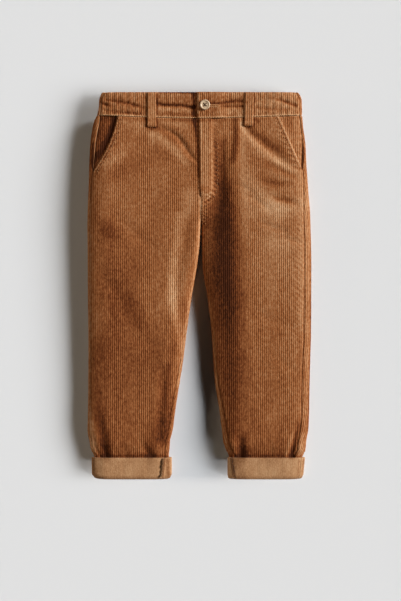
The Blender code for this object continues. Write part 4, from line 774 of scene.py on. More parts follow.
def pocket_edge(side, y):
    """Distance of the pocket mouth from x = 0."""
    mouth = POCKETS[side]
    share = (mouth["top_y"] - y) / (mouth["top_y"] - mouth["low_y"])
    bow = mouth["bow"] * math.sin(math.pi * min(1.0, max(0.0, share)))
    return side * (mouth["top_x"] + share * (mouth["low_x"] - mouth["top_x"])) - bow


# ---------------------------------------------------------------- walls

class Net:
    """One row of one face of a wall: points, with the height and the number of the cord at each.

    Points of neighbouring rows join up by their keys. The end keys of all rows agree.
    """

    def __init__(self, keys, x, y, z, cord, wale):
        self.keys = np.concatenate(((FIRST,), keys[1:-1], (LAST,))).tolist()
        self.points = np.stack(np.broadcast_arrays(x, y, z), 1)
        self.cord, self.wale = np.broadcast_arrays(cord, wale, x)[:2]


def bridge(a, b, faces):
    """Faces between two rows: a quad where the next keys are equal, and otherwise a triangle."""
    i = j = 0
    last_a, last_b = len(a.keys) - 1, len(b.keys) - 1
    while i < last_a or j < last_b:
        next_a = a.keys[i + 1] if i < last_a else PAST
        next_b = b.keys[j + 1] if j < last_b else PAST
        corners = [a.first + i, b.first + j]
        if next_b < next_a + 1.0e-6:
            j += 1
            corners.append(b.first + j)
        if next_a < next_b + 1.0e-6:
            i += 1
            corners.append(a.first + i)
        faces.append(tuple(corners))


def signed_volume(points, faces):
    """Below zero if the faces look inwards."""
    total = 0.0
    for size in (3, 4):
        chosen = np.array([face for face in faces if len(face) == size], int).reshape(-1, size)
        for k in range(1, size - 1):
            a, b, c = (points[chosen[:, n]] for n in (0, k, k + 1))
            total += float(np.sum(a * np.cross(b, c)))
    return total


def add_object(name, data):
    """A new object in the scene."""
    made = bpy.data.objects.new(name, data)
    bpy.context.collection.objects.link(made)
    return made


def mesh_object(name, points, faces, materials, face_materials=None, sharp=60.0):
    """A smooth mesh from points in millimetres, with edges sharper than the angle kept."""
    mesh = bpy.data.meshes.new(name)
    mesh.from_pydata((MM * points).tolist(), [], faces)
    for material in materials:
        mesh.materials.append(material)
    if face_materials is not None:
        mesh.polygons.foreach_set("material_index", np.asarray(face_materials, np.int32))
    mesh.shade_smooth()
    mesh.set_sharp_from_angle(angle=math.radians(sharp))
    return add_object(name, mesh)


def nap(points):
    """How far the nap is brushed light at each point, with the painted shade and highlights of the strokes
    and the puckers.
    """
    x, y, z = points.T
    low, high = UNDERSIDE_RISE
    top = smooth((z - form["floor"](y) - low) / (high - low))
    above = strokes(NAP_AND_PAINTED_LIGHT, x, y) + PUCKER_PAINTED_LIGHT * pucker(x, y)
    return top * above + (1.0 - top) * UNDERSIDE_SHARE * strokes(UNDERSIDE_NAP_AND_PAINTED_LIGHT, x, y)


def wall(name, rows, outer_material, inner_material, nap_and_light_share=1.0, tone=0.0):
    """A closed wall from rows of (outer net, inner net).

    The share is how much of the brushed nap and painted light it takes; tone lightens or darkens the whole
    piece, which on a pocket facing is painted shade or light.
    """
    nets = [net for row in rows for net in row]
    count = 0
    for net in nets:
        net.first = count
        count += len(net.keys)
        net.last = count - 1
    points = np.concatenate([net.points for net in nets])
    outer_faces, other_faces = [], []
    for (outer, inner), (next_outer, next_inner) in zip(rows, rows[1:]):
        bridge(outer, next_outer, outer_faces)
        bridge(next_inner, inner, other_faces)
        other_faces.append((next_outer.first, outer.first, inner.first, next_inner.first))
        other_faces.append((outer.last, next_outer.last, next_inner.last, inner.last))
    bridge(rows[0][1], rows[0][0], other_faces)
    bridge(rows[-1][0], rows[-1][1], other_faces)
    faces = outer_faces + other_faces
    if signed_volume(points, faces) < 0.0:
        faces = [face[::-1] for face in faces]
    kinds = [0] * len(outer_faces) + [1] * len(other_faces)
    made = mesh_object(name, points, faces, (outer_material, inner_material), kinds)
    # painted light and shade ride in the nap attribute together with the brushed nap
    values = {"cord": np.concatenate([net.cord for net in nets]),
              "wale": np.concatenate([net.wale for net in nets]), "nap": tone + nap_and_light_share * nap(points)}
    for label, numbers in values.items():
        attribute = made.data.attributes.new(label, "FLOAT", "POINT")
        attribute.data.foreach_set("value", np.asarray(numbers, np.float32))
    return made


def cords(first, last, profile):
    """Arc length and cord height of the columns of the cords from first to last."""
    places, shares = np.array(profile).T
    s = ((np.arange(first, last + 1)[:, None] + places) * WALE_PITCH).ravel()
    return s, np.tile(shares, last + 1 - first)


def cord_columns(start, stop, profile):
    """The columns between two edges, and one on each edge."""
    s, cord = cords(math.floor(start / WALE_PITCH), math.ceil(stop / WALE_PITCH), profile)
    keep = (s > start + COLUMN_CLEAR) & (s < stop - COLUMN_CLEAR)
    s, cord = s[keep], cord[keep]
    return np.concatenate(((start,), s, (stop,))), np.concatenate(((CORD_END,), cord, (CORD_END,)))


def plain_columns(run, start, stop):
    """Columns of the inner face: wide on the flat, close where the skin bends."""
    step = 0.5 * WALE_PITCH
    k = np.arange(math.ceil((start + PLAIN_CLEAR) / step), math.floor((stop - PLAIN_CLEAR) / step) + 1)
    steep = np.abs(np.interp(k * step, run.s, run.normal_z)) < FLAT_NORMAL
    return np.concatenate(((start,), (k * step)[(k % 8 == 0) | (steep & (k % 2 == 0))], (stop,)))


def edge_shape(s, y, start, stop, dips):
    """Sinking and puckers along the two edges of a panel."""
    total = np.zeros(len(s))
    for place, dip, seed in ((start, dips[0], 1.0), (stop, dips[1], 2.0)):
        off = np.abs(s - place)
        wave = np.sin(TURN * y / PUCKER_PITCH + 2.0 * wander(y / 23.0, seed))
        uneven = 0.6 + 0.4 * wander(y / 31.0, seed + 3.0)
        total -= dip * EDGE_DIP * near(off, EDGE_SOFT)
        total += dip * PUCKER * uneven * wave * near(off, PUCKER_REACH)
    return total


def cord_strength(s, y):
    """Share of the cord's height: brushed patches, and small lumps along each cord."""
    patch = 0.13 * wander(s / 7.0 + y / 29.0, 1.0) + 0.12 * wander(s / 19.0 - y / 12.0, 4.0)
    lump = np.sin(12.9898 * np.floor(s / WALE_PITCH) + 78.233 * np.round(y, 1)) * 43758.5453
    return 0.97 + patch + CORD_LUMP * (lump - np.floor(lump) - 0.5)


def cloth_row(side, y, run, start, stop, profile=CORD_FINE, thick=WALL, depth=0.0, dips=(1.0, 1.0),
              away=lambda s: 0.0, inward=lambda s: 0.0, pressed=lambda s: 1.0):
    """One row of a corduroy wall, the outer face depth below the skin.

    away(s) moves both faces outwards; pressed(s) is the share of the cord's height that stays;
    inward(s) is the share by which cords point inwards, on the flat underside.
    """
    s, cord = cord_columns(start, stop, profile)
    relief = WALE_HEIGHT * (cord_strength(s, y) * pressed(s) * cord - inward(s))
    p, z = run.at(s, relief + away(s) + edge_shape(s, y, start, stop, dips) - depth)
    outer = Net(s, side * p, warp(side * p, y), z, cord, s / WALE_PITCH)
    s = plain_columns(run, start, stop)
    relief = -INNER_SINK * WALE_HEIGHT * inward(s)
    p, z = run.at(s, relief + away(s) + 0.5 * edge_shape(s, y, start, stop, dips) - depth - thick)
    return outer, Net(s, side * p, warp(side * p, y), z, 0.0, s / WALE_PITCH)


def heights(bottom, step, extra=()):
    """Rows from the waistband seam down, close together at the top."""
    rows = [BAND_SEAM_Y - 0.5 * GAP - u for u in EDGE_ROWS]
    count = math.ceil((rows[-1] - bottom) / step)
    return sorted({*rows, *np.linspace(rows[-1], bottom, count + 1)[1:].tolist(), *extra}, reverse=True)


# ---------------------------------------------------------------- the pieces' skins

def front_run(side, y):
    """A front's section and skin at y. Above the fork, the right one runs on under the fly's lap."""
    sizes = section(side, y)
    if sizes.closed > 0.0:
        return sizes, top_run(side, y, sizes, FOLDS, fly_lift if side > 0 else None)
    if side < 0:
        return sizes, top_run(side, y, sizes, FOLDS, None, sizes.inner + fly["under_edge"](y))
    return sizes, top_run(side, y, sizes, FOLDS, fly_lift, sizes.inner - fly["lap_edge"](y))


def band_run(side, y):
    """A front waistband's section and skin at y."""
    sizes = section(side, y)
    if side < 0:
        return sizes, top_run(side, y, sizes, BAND_FOLDS, None, BAND_UNDER_X)
    return sizes, top_run(side, y, sizes, BAND_FOLDS, band_lift, sizes.inner - BAND_LAP_X)


def band_gather(run, s, y):
    """Elastic gathers of the front waistband, growing towards the sides."""
    start, full = (run.s_at(p) for p in GATHER_FRONT_P)
    phase = TURN * s / GATHER_PITCH + 0.9 * wander(s / 9.0, 5.0) + 0.5 * wander(y / 8.0, 2.0)
    return GATHER_FRONT_SHARE * GATHER_HEIGHT * smooth((s - start) / (full - start)) * np.cos(phase)


def seam_press(y):
    """Cords lie flatter beside the waistband seam and its stitches."""
    return 1.0 - SEAM_PRESS * near(BAND_SEAM_Y + 0.8 - y, 2.0)


def seam_sink(y):
    """How far a panel sinks into the waistband seam."""
    return FOOT_DIP * near(BAND_SEAM_Y - y, EDGE_SOFT)


def side_stop(run, sizes):
    """Where a front ends at the side seam."""
    return run.s_at(sizes.outer - sizes.side_seam) - 0.5 * GAP


def inseam_start(run, sizes):
    """Where a front starts at the inseam."""
    return run.s_at(sizes.inner + sizes.inseam) + 0.5 * GAP


def front_pressed(side, y, run, s):
    """Share of the cord height left beside the seams and topstitching of a front."""
    left = np.full(len(s), seam_press(y))
    if y > POCKET_PRESS_Y:
        for row in POCKET_ROWS:
            left = left * (1.0 - POCKET_PRESS * near(run.s_at(pocket_edge(side, y)) - row - s, 1.0))
    return left


def front(side):
    """A front panel, cut away at the pocket mouth."""
    rows = []
    for y in heights(LEG_END_Y, ROW_STEP, FORK_ROWS):
        sizes, run = front_run(side, y)
        if sizes.closed == 1.0:
            start = inseam_start(run, sizes)
        elif side > 0 and sizes.closed == 0.0:
            start = run.s_at(fly["lap_edge"](y))
        else:
            start = run.s[0] + 0.5 * GAP
        seam, mouth = side_stop(run, sizes), run.s_at(pocket_edge(side, y))
        dips = (FORK_DIP if FORK_DIP_Y[0] <= y <= FORK_DIP_Y[1] else CENTRE_DIP,
                MOUTH_DIP if mouth < seam else SIDE_SEAM_DIP[side])
        rows.append(cloth_row(side, y, run, start, min(seam, mouth), CORD_FINE, WALL, seam_sink(y), dips,
                              away=lambda s: pucker(side * run.at(s)[0], y),
                              pressed=lambda s: front_pressed(side, y, run, s)))
    return wall("front_panel_" + NAMES[side], rows, corduroy, wrong_side)


def back(side):
    """A back panel, flat below and wrapped round the side and the inseam."""
    rows = []
    for y in heights(LEG_END_Y, BACK_ROW_STEP, FORK_ROWS):
        sizes = section(side, y)
        run = under_run(side, y, sizes, FOLDS)
        start, stop = run.s[0] + 0.5 * GAP, run.s[-1] - 0.5 * GAP

        def inward(s):
            return 1.0 - smooth((np.interp(s, run.s, run.z) - sizes.floor) / CORD_CLEARANCE)

        rows.append(cloth_row(side, y, run, start, stop, CORD_PLAIN, WALL, seam_sink(y),
                              (BACK_INSEAM_DIP, SIDE_SEAM_DIP[side]), inward=inward,
                              pressed=lambda s: seam_press(y)))
    return wall("back_panel_" + NAMES[side], rows, corduroy, wrong_side)


def pocket_facing(side):
    """The facing that shows behind a slant mouth."""
    deep, sunk = FACING_DEPTH[side]
    rows = []
    for y in heights(FACING_LOW_Y, ROW_STEP):
        sizes, run = front_run(side, y)
        seam = side_stop(run, sizes)
        start = run.s_at(pocket_edge(side, y) - FACING_UNDER)
        rows.append(cloth_row(side, y, run, start, seam, CORD_FINE, WALL, seam_sink(y), FACING_DIPS,
                              away=lambda s: -sunk - (deep - sunk) * smooth((seam - s) / FACING_SLOPE)))
    # the facing's whole tone carries painted shade on the right and painted light on the left
    return wall("pocket_facing_piece_" + NAMES[side], rows, facing_cloth, wrong_side, 1.0,
                FACING_LIGHT_AND_SHADE[side])


def band_profile():
    """Rows of a waistband: (y, how far the outer face sinks, wall thickness there)."""
    rows = []
    for above in (*EDGE_ROWS, 3.4):
        sink = FOOT_DIP * near(above, EDGE_SOFT)
        rows.append((BAND_SEAM_Y + 0.5 * GAP + above, sink, BAND_WALL - sink))
    for y in np.arange(BAND_SEAM_Y + 5.2, WAIST_Y - 2.0, BAND_ROW_STEP):
        rows.append((y, 0.0, BAND_WALL))
    return rows + [(WAIST_Y - below, sink, BAND_WALL - 2.0 * sink) for below, sink in BAND_EDGE]


def band_front(side):
    """A front waistband. The left one laps over the right one and takes the button."""
    rows = []
    for y, sink, thick in band_profile():
        sizes, run = band_run(side, y)
        start = run.s_at(-BAND_UNDER_X if side < 0 else BAND_LAP_X)
        rows.append(cloth_row(side, y, run, start, side_stop(run, sizes), CORD_FINE, thick, sink,
                              BAND_DIPS, away=lambda s: band_gather(run, s, y),
                              pressed=lambda s: seam_press(y)))
    return wall("waistband_front_" + NAMES[side], rows, band_cloth, wrong_side)


def band_back_half(side, y, sink, thick):
    """Both faces of half the back waistband at y, from the centre: arrays of s, x, z and cord."""
    run = under_run(side, y, section(side, y), BAND_FOLDS)
    length = run.s[-1] - 0.5 * GAP - run.s[0]
    s, cord = cords(0, math.ceil(length / WALE_PITCH) - 1, CORD_PLAIN)
    keep = s < length - 0.3
    many = (np.append(s[keep], length), np.append(cord[keep], 0.3), sink)
    s = np.append(np.arange(0.0, length - 1.0, 0.25 * GATHER_PITCH), length)
    faces = []
    for s, cord, depth in (many, (s, np.zeros(len(s)), sink + thick)):
        phase = TURN * s / GATHER_PITCH + wander(s / 13.0, 2.0) + 0.5 * wander(y / 8.0, 6.0)
        relief = GATHER_HEIGHT * np.cos(phase) + BAND_BACK_CORD * WALE_HEIGHT * cord * seam_press(y)
        p, z = run.at(s + run.s[0], relief - depth)
        faces.append((side * s, side * p, z, cord))
    return faces


def band_back():
    """The elastic back waistband, one strip round both sides."""
    rows = []
    for y, sink, thick in band_profile():
        nets = []
        for right, left in zip(*(band_back_half(side, y, sink, thick) for side in (-1, 1))):
            s, x, z, cord = (np.concatenate((a[:0:-1], b)) for a, b in zip(right, left))
            net = Net(s, x, warp(x, y), z, cord, 0.0)
            net.wale = np.array(net.keys) / WALE_PITCH  # The end columns lie far outside the count.
            nets.append(net)
        rows.append(nets)
    return wall("waistband_elastic_back", rows, band_cloth, wrong_side, 0.3)


def cuff_profile():
    """The turn-up along its length: (outer y, outer depth, inner y, inner depth), top to inside."""
    inside = CUFF_LAYER + CUFF_SLIT
    total = inside + WALL
    middle = 0.5 * total
    low_y, inner_top = CUFF_FOLD_Y + CUFF_CORNER, LEG_END_Y - GAP
    straight = [(CUFF_TOP_Y - below, sink, CUFF_LAYER - less) for below, sink, less in CUFF_EDGE]
    straight += [(y, 0.0, CUFF_LAYER) for y in np.linspace(CUFF_TOP_Y - 1.0, low_y, 12)[1:].tolist()]
    rows = [(y, outer, y, inner) for y, outer, inner in straight]
    for angle in np.linspace(0.15, 1.0, 9) * math.pi:
        up = 1.0 - math.sin(angle)
        rows.append((CUFF_FOLD_Y + CUFF_FOLD_ROUND * up, middle * (1.0 - math.cos(angle)),
                     CUFF_FOLD_Y + CUFF_SLIT_RISE + CUFF_SLIT_ROUND * up,
                     middle - (middle - CUFF_LAYER) * math.cos(angle)))
    return rows + [(y, total, y, inside) for y in (low_y, 0.5 * (low_y + inner_top), inner_top)]


def cuff_net(side, part, y, depth, count):
    """One row of a turn-up at y, depth below its skin, softly uneven."""
    sizes = cuff_section(side, y)
    share = np.linspace(0.0, 1.0, count)
    if part == "front":
        run = top_run(side, y, sizes)
        start, stop = inseam_start(run, sizes), side_stop(run, sizes)
    else:
        run = under_run(side, y, sizes)
        start, stop = run.s[0] + 0.5 * GAP, run.s[-1] - 0.5 * GAP
        share = 0.2 * share + 0.4 * (1.0 - np.cos(math.pi * share))
    s = start + share * (stop - start)
    soft = 0.0
    if part == "front" and depth < CUFF_LAYER + 0.5:
        soft = 0.30 * wander(s / 11.0 + 0.6 * side, 3.0) * smooth((y - CUFF_FOLD_Y) / 20.0)
        soft += 0.12 * wander(s / 4.0, 1.0 + side)
        edge = np.minimum(s - start, stop - s)
        soft = soft * smooth(edge / 6.0) - 0.5 * near(edge, 0.9)
    p, z = run.at(s, soft - depth)
    return Net(share, side * p, y, z, 0.5, s / WALE_PITCH)


def cuff(side, part):
    """Front or back half of a turn-up: outer layer, fold and the layer inside the leg."""
    rows = []
    for outer_y, outer_depth, inner_y, inner_depth in cuff_profile():
        rows.append((cuff_net(side, part, outer_y, outer_depth, CUFF_POINTS[part]),
                     cuff_net(side, part, inner_y, inner_depth, CUFF_INNER_POINTS)))
    return wall(f"turn_up_{part}_{NAMES[side]}", rows, wrong_side, wrong_side)


# ---------------------------------------------------------------- materials

class Graph:
    """A material's nodes, made in order."""

    def __init__(self, name):
        self.material = bpy.data.materials.new(name)
        self.material.use_nodes = True
        self.nodes = self.material.node_tree.nodes
        self.links = self.material.node_tree.links
        self.shader = self.nodes["Principled BSDF"]

    def add(self, kind, settings=(), inputs=()):
        node = self.nodes.new(kind)
        for name, value in dict(settings).items():
            setattr(node, name, value)
        for name, value in dict(inputs).items():
            self.put(node.inputs[name], value)
        return node

    def put(self, socket, value):
        if isinstance(value, bpy.types.NodeSocket):
            self.links.new(value, socket)
        else:
            socket.default_value = value

    def math(self, operation, a, b=0.0, clamp=False):
        settings = {"operation": operation, "use_clamp": clamp}
        return self.add("ShaderNodeMath", settings, {0: a, 1: b}).outputs[0]

    def attribute(self, name):
        return self.add("ShaderNodeAttribute", {"attribute_name": name}).outputs["Fac"]

    def noise(self, scale, stretch, detail, rough):
        """Noise over the object's own coordinates, stretched."""
        source = self.add("ShaderNodeTexCoord").outputs["Object"]
        place = self.add("ShaderNodeMapping", {}, {"Vector": source, "Scale": stretch}).outputs[0]
        inputs = {"Vector": place, "Scale": scale, "Detail": detail, "Roughness": rough}
        return self.add("ShaderNodeTexNoise", {}, inputs).outputs["Fac"]

    def vary(self, tone, sources):
        """The tone with noises added about their middle, each by its amount, kept between 0 and 1."""
        for source, amount in sources:
            tone = self.math("ADD", tone, self.math("MULTIPLY", self.math("SUBTRACT", source, 0.5), amount))
        return self.math("ADD", tone, 0.0, True)

    def ramp(self, value, stops):
        node = self.add("ShaderNodeValToRGB", {}, {"Fac": value})
        elements = node.color_ramp.elements
        while len(elements) < len(stops):
            elements.new(0.5)
        for element, (place, colour) in zip(elements, stops):
            element.position = place
            element.color = (*colour, 1.0)
        return node.outputs["Color"]

    def multiply(self, a, b):
        settings = {"data_type": "RGBA", "blend_type": "MULTIPLY"}
        return self.add("ShaderNodeMix", settings, {"Factor": 1.0, "A": a, "B": b}).outputs["Result"]

    def bump(self, height, distance, strength, normal=None):
        node = self.add("ShaderNodeBump", {}, {"Height": height, "Distance": distance, "Strength": strength})
        if normal is not None:
            self.put(node.inputs["Normal"], normal)
        return node.outputs["Normal"]

    def finish(self, colour, roughness, normal=None, **sockets):
        self.put(self.shader.inputs["Base Color"], colour)
        self.put(self.shader.inputs["Roughness"], roughness)
        if normal is not None:
            self.put(self.shader.inputs["Normal"], normal)
        for name, value in sockets.items():
            self.shader.inputs[name.replace("_", " ")].default_value = value
        return self.material


def make_corduroy(name, broken):
    """Cut pile cords: tone from the brushed nap and from painted light and shade, uneven tufts along each
    cord, and grooves darkened by painted shade and their thinner pile.

    broken is how strongly the tone breaks up into beads along a cord.
    """
    g = Graph(name)
    cord, nap = g.attribute("cord"), g.attribute("nap")
    blotch = g.noise(34.0, (1.0, 0.45, 1.0), 3.0, 0.55)
    smudge = g.noise(85.0, (0.7, 1.0, 1.0), 3.0, 0.6)
    streak = g.noise(420.0, (1.0, 0.10, 1.0), 2.0, 0.6)
    bead = g.noise(430.0, (1.0, 0.50, 1.0), 2.0, 0.65)
    tuft = g.noise(1500.0, (1.0, 0.8, 1.0), 2.0, 0.6)
    tone = g.math("ADD", g.math("MULTIPLY", nap, 0.5), 0.5)
    tone = g.vary(tone, ((blotch, 0.28), (smudge, 0.10), (streak, 0.26), (bead, broken), (tuft, 0.25)))
    # painted shade in the grooves between the cords, with their thinner pile
    shade = g.ramp(g.vary(cord, ((bead, GROOVE_SHADE_BREAK),)), GROOVE_PAINTED_SHADE)
    normal = g.bump(bead, 0.0005, 0.7, g.bump(tuft, 0.00022, 0.8))
    return g.finish(g.multiply(g.ramp(tone, TONES), shade), 0.92, normal, Sheen_Weight=0.12,
                    Sheen_Roughness=0.45, Sheen_Tint=(0.95, 0.62, 0.34, 1.0), Specular_IOR_Level=0.15)


def make_wrong_side():
    """The smooth reverse: a fine twill with faint lines where the cords lie, toned by the nap and by painted
    shade and highlights.
    """
    g = Graph("wrong_side_cloth")
    wale, nap = g.attribute("wale"), g.attribute("nap")
    line = g.math("SINE", g.math("MULTIPLY", wale, TURN))
    fine = g.noise(1100.0, EVEN, 2.0, 0.6)
    slub = g.noise(480.0, (1.0, 0.8, 1.0), 2.0, 0.65)
    blotch = g.noise(60.0, EVEN, 3.0, 0.5)
    thread = g.noise(900.0, (1.0, 0.25, 1.0), 1.0, 0.5)
    tone = g.math("ADD", g.math("MULTIPLY", line, 0.03), 0.5)
    tone = g.math("ADD", tone, g.math("MULTIPLY", nap, 0.5))
    tone = g.vary(tone, ((fine, 0.6), (slub, 0.65), (blotch, 0.6), (thread, 0.4)))
    normal = g.bump(slub, 0.0004, 0.6, g.bump(fine, 0.00018, 0.7))
    return g.finish(g.ramp(tone, WRONG_SIDE_TONES), 0.9, normal, Sheen_Weight=0.1, Specular_IOR_Level=0.15)


def make_thread(name, dark, light):
    g = Graph(name)
    ply = g.noise(1800.0, EVEN, 1.0, 0.5)
    colour = g.ramp(ply, ((0.25, dark), (0.75, light)))
    return g.finish(colour, 0.8, g.bump(ply, 0.0001, 0.8), Specular_IOR_Level=0.2)


def make_button():
    g = Graph("button_resin")
    cloud = g.noise(260.0, (1.0, 2.2, 1.0), 4.0, 0.6)
    rough = g.math("ADD", g.math("MULTIPLY", cloud, 0.2), 0.28)
    return g.finish(g.ramp(cloud, BUTTON_TONES), rough, g.bump(cloud, 0.00008, 0.5), Specular_IOR_Level=0.5)


def make_tape():
    g = Graph("zip_tape_weave")
    weave = g.noise(1400.0, (1.0, 0.3, 1.0), 1.0, 0.5)
    return g.finish(g.ramp(weave, TAPE_TONES), 0.8, g.bump(weave, 0.0001, 0.7))


EVEN = (1.0, 1.0, 1.0)
# Ramps: (place, colour). The cloth goes from dark to light as its nap is brushed and as painted shade and
# highlights lie on it; the grooves from deep to none, darkened in their depth as painted shade and by their
# thinner pile.
TONES = ((0.0, (0.062, 0.0145, 0.0030)), (0.25, (0.186, 0.051, 0.0125)), (0.5, (0.352, 0.128, 0.0415)),
         (0.75, (0.510, 0.250, 0.115)), (1.0, (0.660, 0.395, 0.220)))
GROOVE_PAINTED_SHADE = ((0.0, (0.64, 0.53, 0.43)), (0.45, (0.88, 0.84, 0.79)), (0.9, (1.0, 1.0, 1.0)))
GROOVE_SHADE_BREAK = 1.1  # how strongly the beads break up the painted shade of the grooves
WRONG_SIDE_TONES = ((0.0, (0.22, 0.090, 0.032)), (0.5, (0.45, 0.238, 0.113)), (1.0, (0.64, 0.405, 0.225)))
BUTTON_TONES = ((0.25, (0.40, 0.27, 0.16)), (0.5, (0.64, 0.47, 0.31)), (0.8, (0.80, 0.63, 0.45)))
TAPE_TONES = ((0.2, (0.18, 0.085, 0.035)), (0.8, (0.34, 0.18, 0.085)))

corduroy = make_corduroy("corduroy_cloth", 0.70)
band_cloth = make_corduroy("waistband_cloth", 0.95)
facing_cloth = make_corduroy("pocket_facing_cloth", 0.8)
wrong_side = make_wrong_side()
pale_thread = make_thread("pale_thread", (0.50, 0.270, 0.120), (0.72, 0.440, 0.235))
tonal_thread = make_thread("tonal_thread", (0.42, 0.200, 0.082), (0.66, 0.370, 0.180))
dark_thread = make_thread("dark_thread", (0.035, 0.016, 0.008), (0.11, 0.05, 0.022))
button_resin = make_button()
zip_tape = make_tape()


# ---------------------------------------------------------------- thread

def front_point(x, y, above):
    """A point above the front panels, whose rows bend near the waistband seam."""
    edge = fly["lap_edge"](y) if y >= FLY_END_Y else CENTRE_X
    side = 1 if x > edge else -1
    run = front_run(side, y)[1]
    p, z = run.at(run.s_at(side * x), above)
    return np.array((side * p, warp(x, y), z))


def band_point(x, y, above):
    """A point above the front waistbands, on their gathers."""
    side = 1 if x > BAND_LAP_X else -1
    run = band_run(side, y)[1]
    s = run.s_at(side * x)
    p, z = run.at(s, above + band_gather(run, s, y))
    return np.array((side * p, warp(x, y), z))


def skin_top(x, y):
    """Height of the waistband's or the front's skin at x, y."""
    place = band_point if y > BAND_SEAM_Y else front_point
    return place(x, y, 0.0)[2]


def tube_faces(rings, sides, first=0):
    """Faces of a closed tube, whose rings of points follow each other from the point first."""
    faces = []
    for low in range(first, first + (rings - 1) * sides, sides):
        for k in range(sides):
            after = (k + 1) % sides
            faces.append((low + k, low + after, low + sides + after, low + sides + k))
    last = first + (rings - 1) * sides
    return faces + [tuple(range(first + sides - 1, first - 1, -1)), tuple(range(last, last + sides))]


def circle(sides):
    """Cosine and sine of each corner of a regular polygon."""
    return [(math.cos(TURN * k / sides), math.sin(TURN * k / sides)) for k in range(sides)]


class Thread:
    """Collects stitches into one mesh."""

    def __init__(self):
        self.points, self.faces = [], []

    def stitch(self, a, b, radius=0.5 * THREAD, arch=0.25):
        """A thread that rises out of the cloth at a and sinks back in at b."""
        a, b = np.array(a, float), np.array(b, float)
        length = np.linalg.norm(b - a)
        along = (b - a) / length
        across = np.cross(along, (0.0, 0.0, 1.0))
        across = across / np.linalg.norm(across)
        lift = np.cross(across, along)
        self.faces += tube_faces(len(STITCH_RINGS), STITCH_SIDES, len(self.points))
        for t, size in STITCH_RINGS:
            centre = a + along * length * t + lift * (arch * math.sin(math.pi * t) - arch)
            for cosine, sine in circle(STITCH_SIDES):
                self.points.append(centre + radius * size * (cosine * across + sine * lift))

    def row(self, path, place, above, length=STITCH_LENGTH, space=STITCH_SPACE, radius=0.5 * THREAD):
        """Stitches along a path of (x, y), each end set on the cloth by place(x, y, above)."""
        x, y = np.array(path, float).T
        steps = lengths(x, y)
        count = max(1, round(steps[-1] / (length + space)))
        pitch = steps[-1] / count
        for k in range(count):
            ends = (k * pitch, (k + length / (length + space)) * pitch)
            a, b = (place(np.interp(u, steps, x), np.interp(u, steps, y), above) for u in ends)
            self.stitch(a, b, radius)

    def done(self, name, material):
        return mesh_object(name, np.array(self.points), self.faces, (material,), None, 70.0)


def front_thread():
    """Topstitching of the fly, the pocket mouths and the centre front seam."""
    sewn = Thread()
    above = WALE_HEIGHT * 0.9
    for x in FLY_ROWS:
        radius = x - FLY_BEND[0]
        path = [(x, FLY_ROW_TOP_Y), (x, FLY_BEND[1])]
        for turn in np.linspace(0.0, QUARTER, 12):
            path.append((FLY_BEND[0] + radius * math.cos(turn),
                         FLY_BEND[1] - FLY_BEND_DROP * radius * math.sin(turn)))
        sewn.row(path, front_point, above, radius=0.2)
    for side in (-1, 1):
        for row in POCKET_ROWS:
            rows_y = np.linspace(POCKET_ROW_TOP_Y, POCKETS[side]["low_y"] + 3.0, 12)
            sewn.row([(side * (pocket_edge(side, y) - row), y) for y in rows_y], front_point, above)
    for x in CENTRE_ROWS:
        sewn.row([(x, y) for y in np.linspace(*CENTRE_ROW_Y, 8)], front_point, above)
    for y in FLY_TACK_Y - 1.1 * np.arange(7):
        sewn.stitch(front_point(3.0, y, above), front_point(7.5, y - 0.6, above), 0.22)
    return sewn.done("front_topstitching", tonal_thread)


def band_thread():
    """The pale row along the foot of the waistband, broken at the edge of the lap."""
    sewn = Thread()
    for start, stop in BAND_ROW_X:
        path = [(x, BAND_SEAM_Y + 1.0) for x in np.linspace(start, stop, 60)]
        sewn.row(path, band_point, WALE_HEIGHT - 0.1, 3.2, 0.4, 0.5)
    return sewn.done("waistband_topstitching", pale_thread)


# ---------------------------------------------------------------- belt loops and button

def strap(loop, line):
    """A bowed strip with round edges and folded-under ends along a line of (y, z)."""
    u = np.linspace(-1.0, 1.0, 8 * LOOP_CORDS + 1)
    edge = np.clip((1.0 - np.abs(u)) / 0.12, 0.0, 1.0)
    rounding = 1.0 - np.sqrt(np.clip(edge * (2.0 - edge), 0.0, 1.0))
    ridge = np.abs(np.sin(math.pi * (u + 1.0) * 0.5 * LOOP_CORDS)) ** 0.7 * (1.0 - rounding)
    top = LOOP_THICK + 0.45 * ridge - 0.75 * rounding
    keys = np.arange(len(u), dtype=float)
    height = Curve(line, ("y", "z"), "z")
    high_y, low_y = line[0][0], line[-1][0]
    rows = []
    for share in np.arange(LOOP_ROWS + 1) / LOOP_ROWS:
        y = high_y + share * (low_y - high_y)
        soft = 0.5 * near(min(share, 1.0 - share) * (high_y - low_y), 0.8)
        foot = near(y - low_y - 3.0, 3.2) if loop in FRONT_LOOPS else 0.0
        x = loop.x + loop.lean * share + 0.5 * LOOP_WIDTH * (1.0 + 0.10 * foot) * u
        rows.append((Net(keys, x, y, height(y) + top - soft + 0.7 * foot, 0.15 + 0.85 * ridge, keys / 8.0),
                     Net(keys[::4], x[::4], y, height(y) + 0.7 * rounding[::4] + soft, 0.0, 0.0)))
    return wall(loop.name + "_strap", rows, corduroy, corduroy, 0.2, 0.15)


def loop_line(loop):
    """(y, z) along the underside of a loop. The front ones rest on the cloth."""
    if loop in BACK_LOOPS:
        return [(WAIST_Y - 0.2, 1.2), (262.0, 0.1), (238.0, 0.1), (loop.end_y, 0.1)]
    line = []
    for y, above in (*LOOP_BOW, (loop.end_y + 6.0, 0.8), (loop.end_y, 0.6)):
        line.append((y, above + max(skin_top(loop.x + u, y) for u in (-6.0, 0.0, 6.0))))
    return line


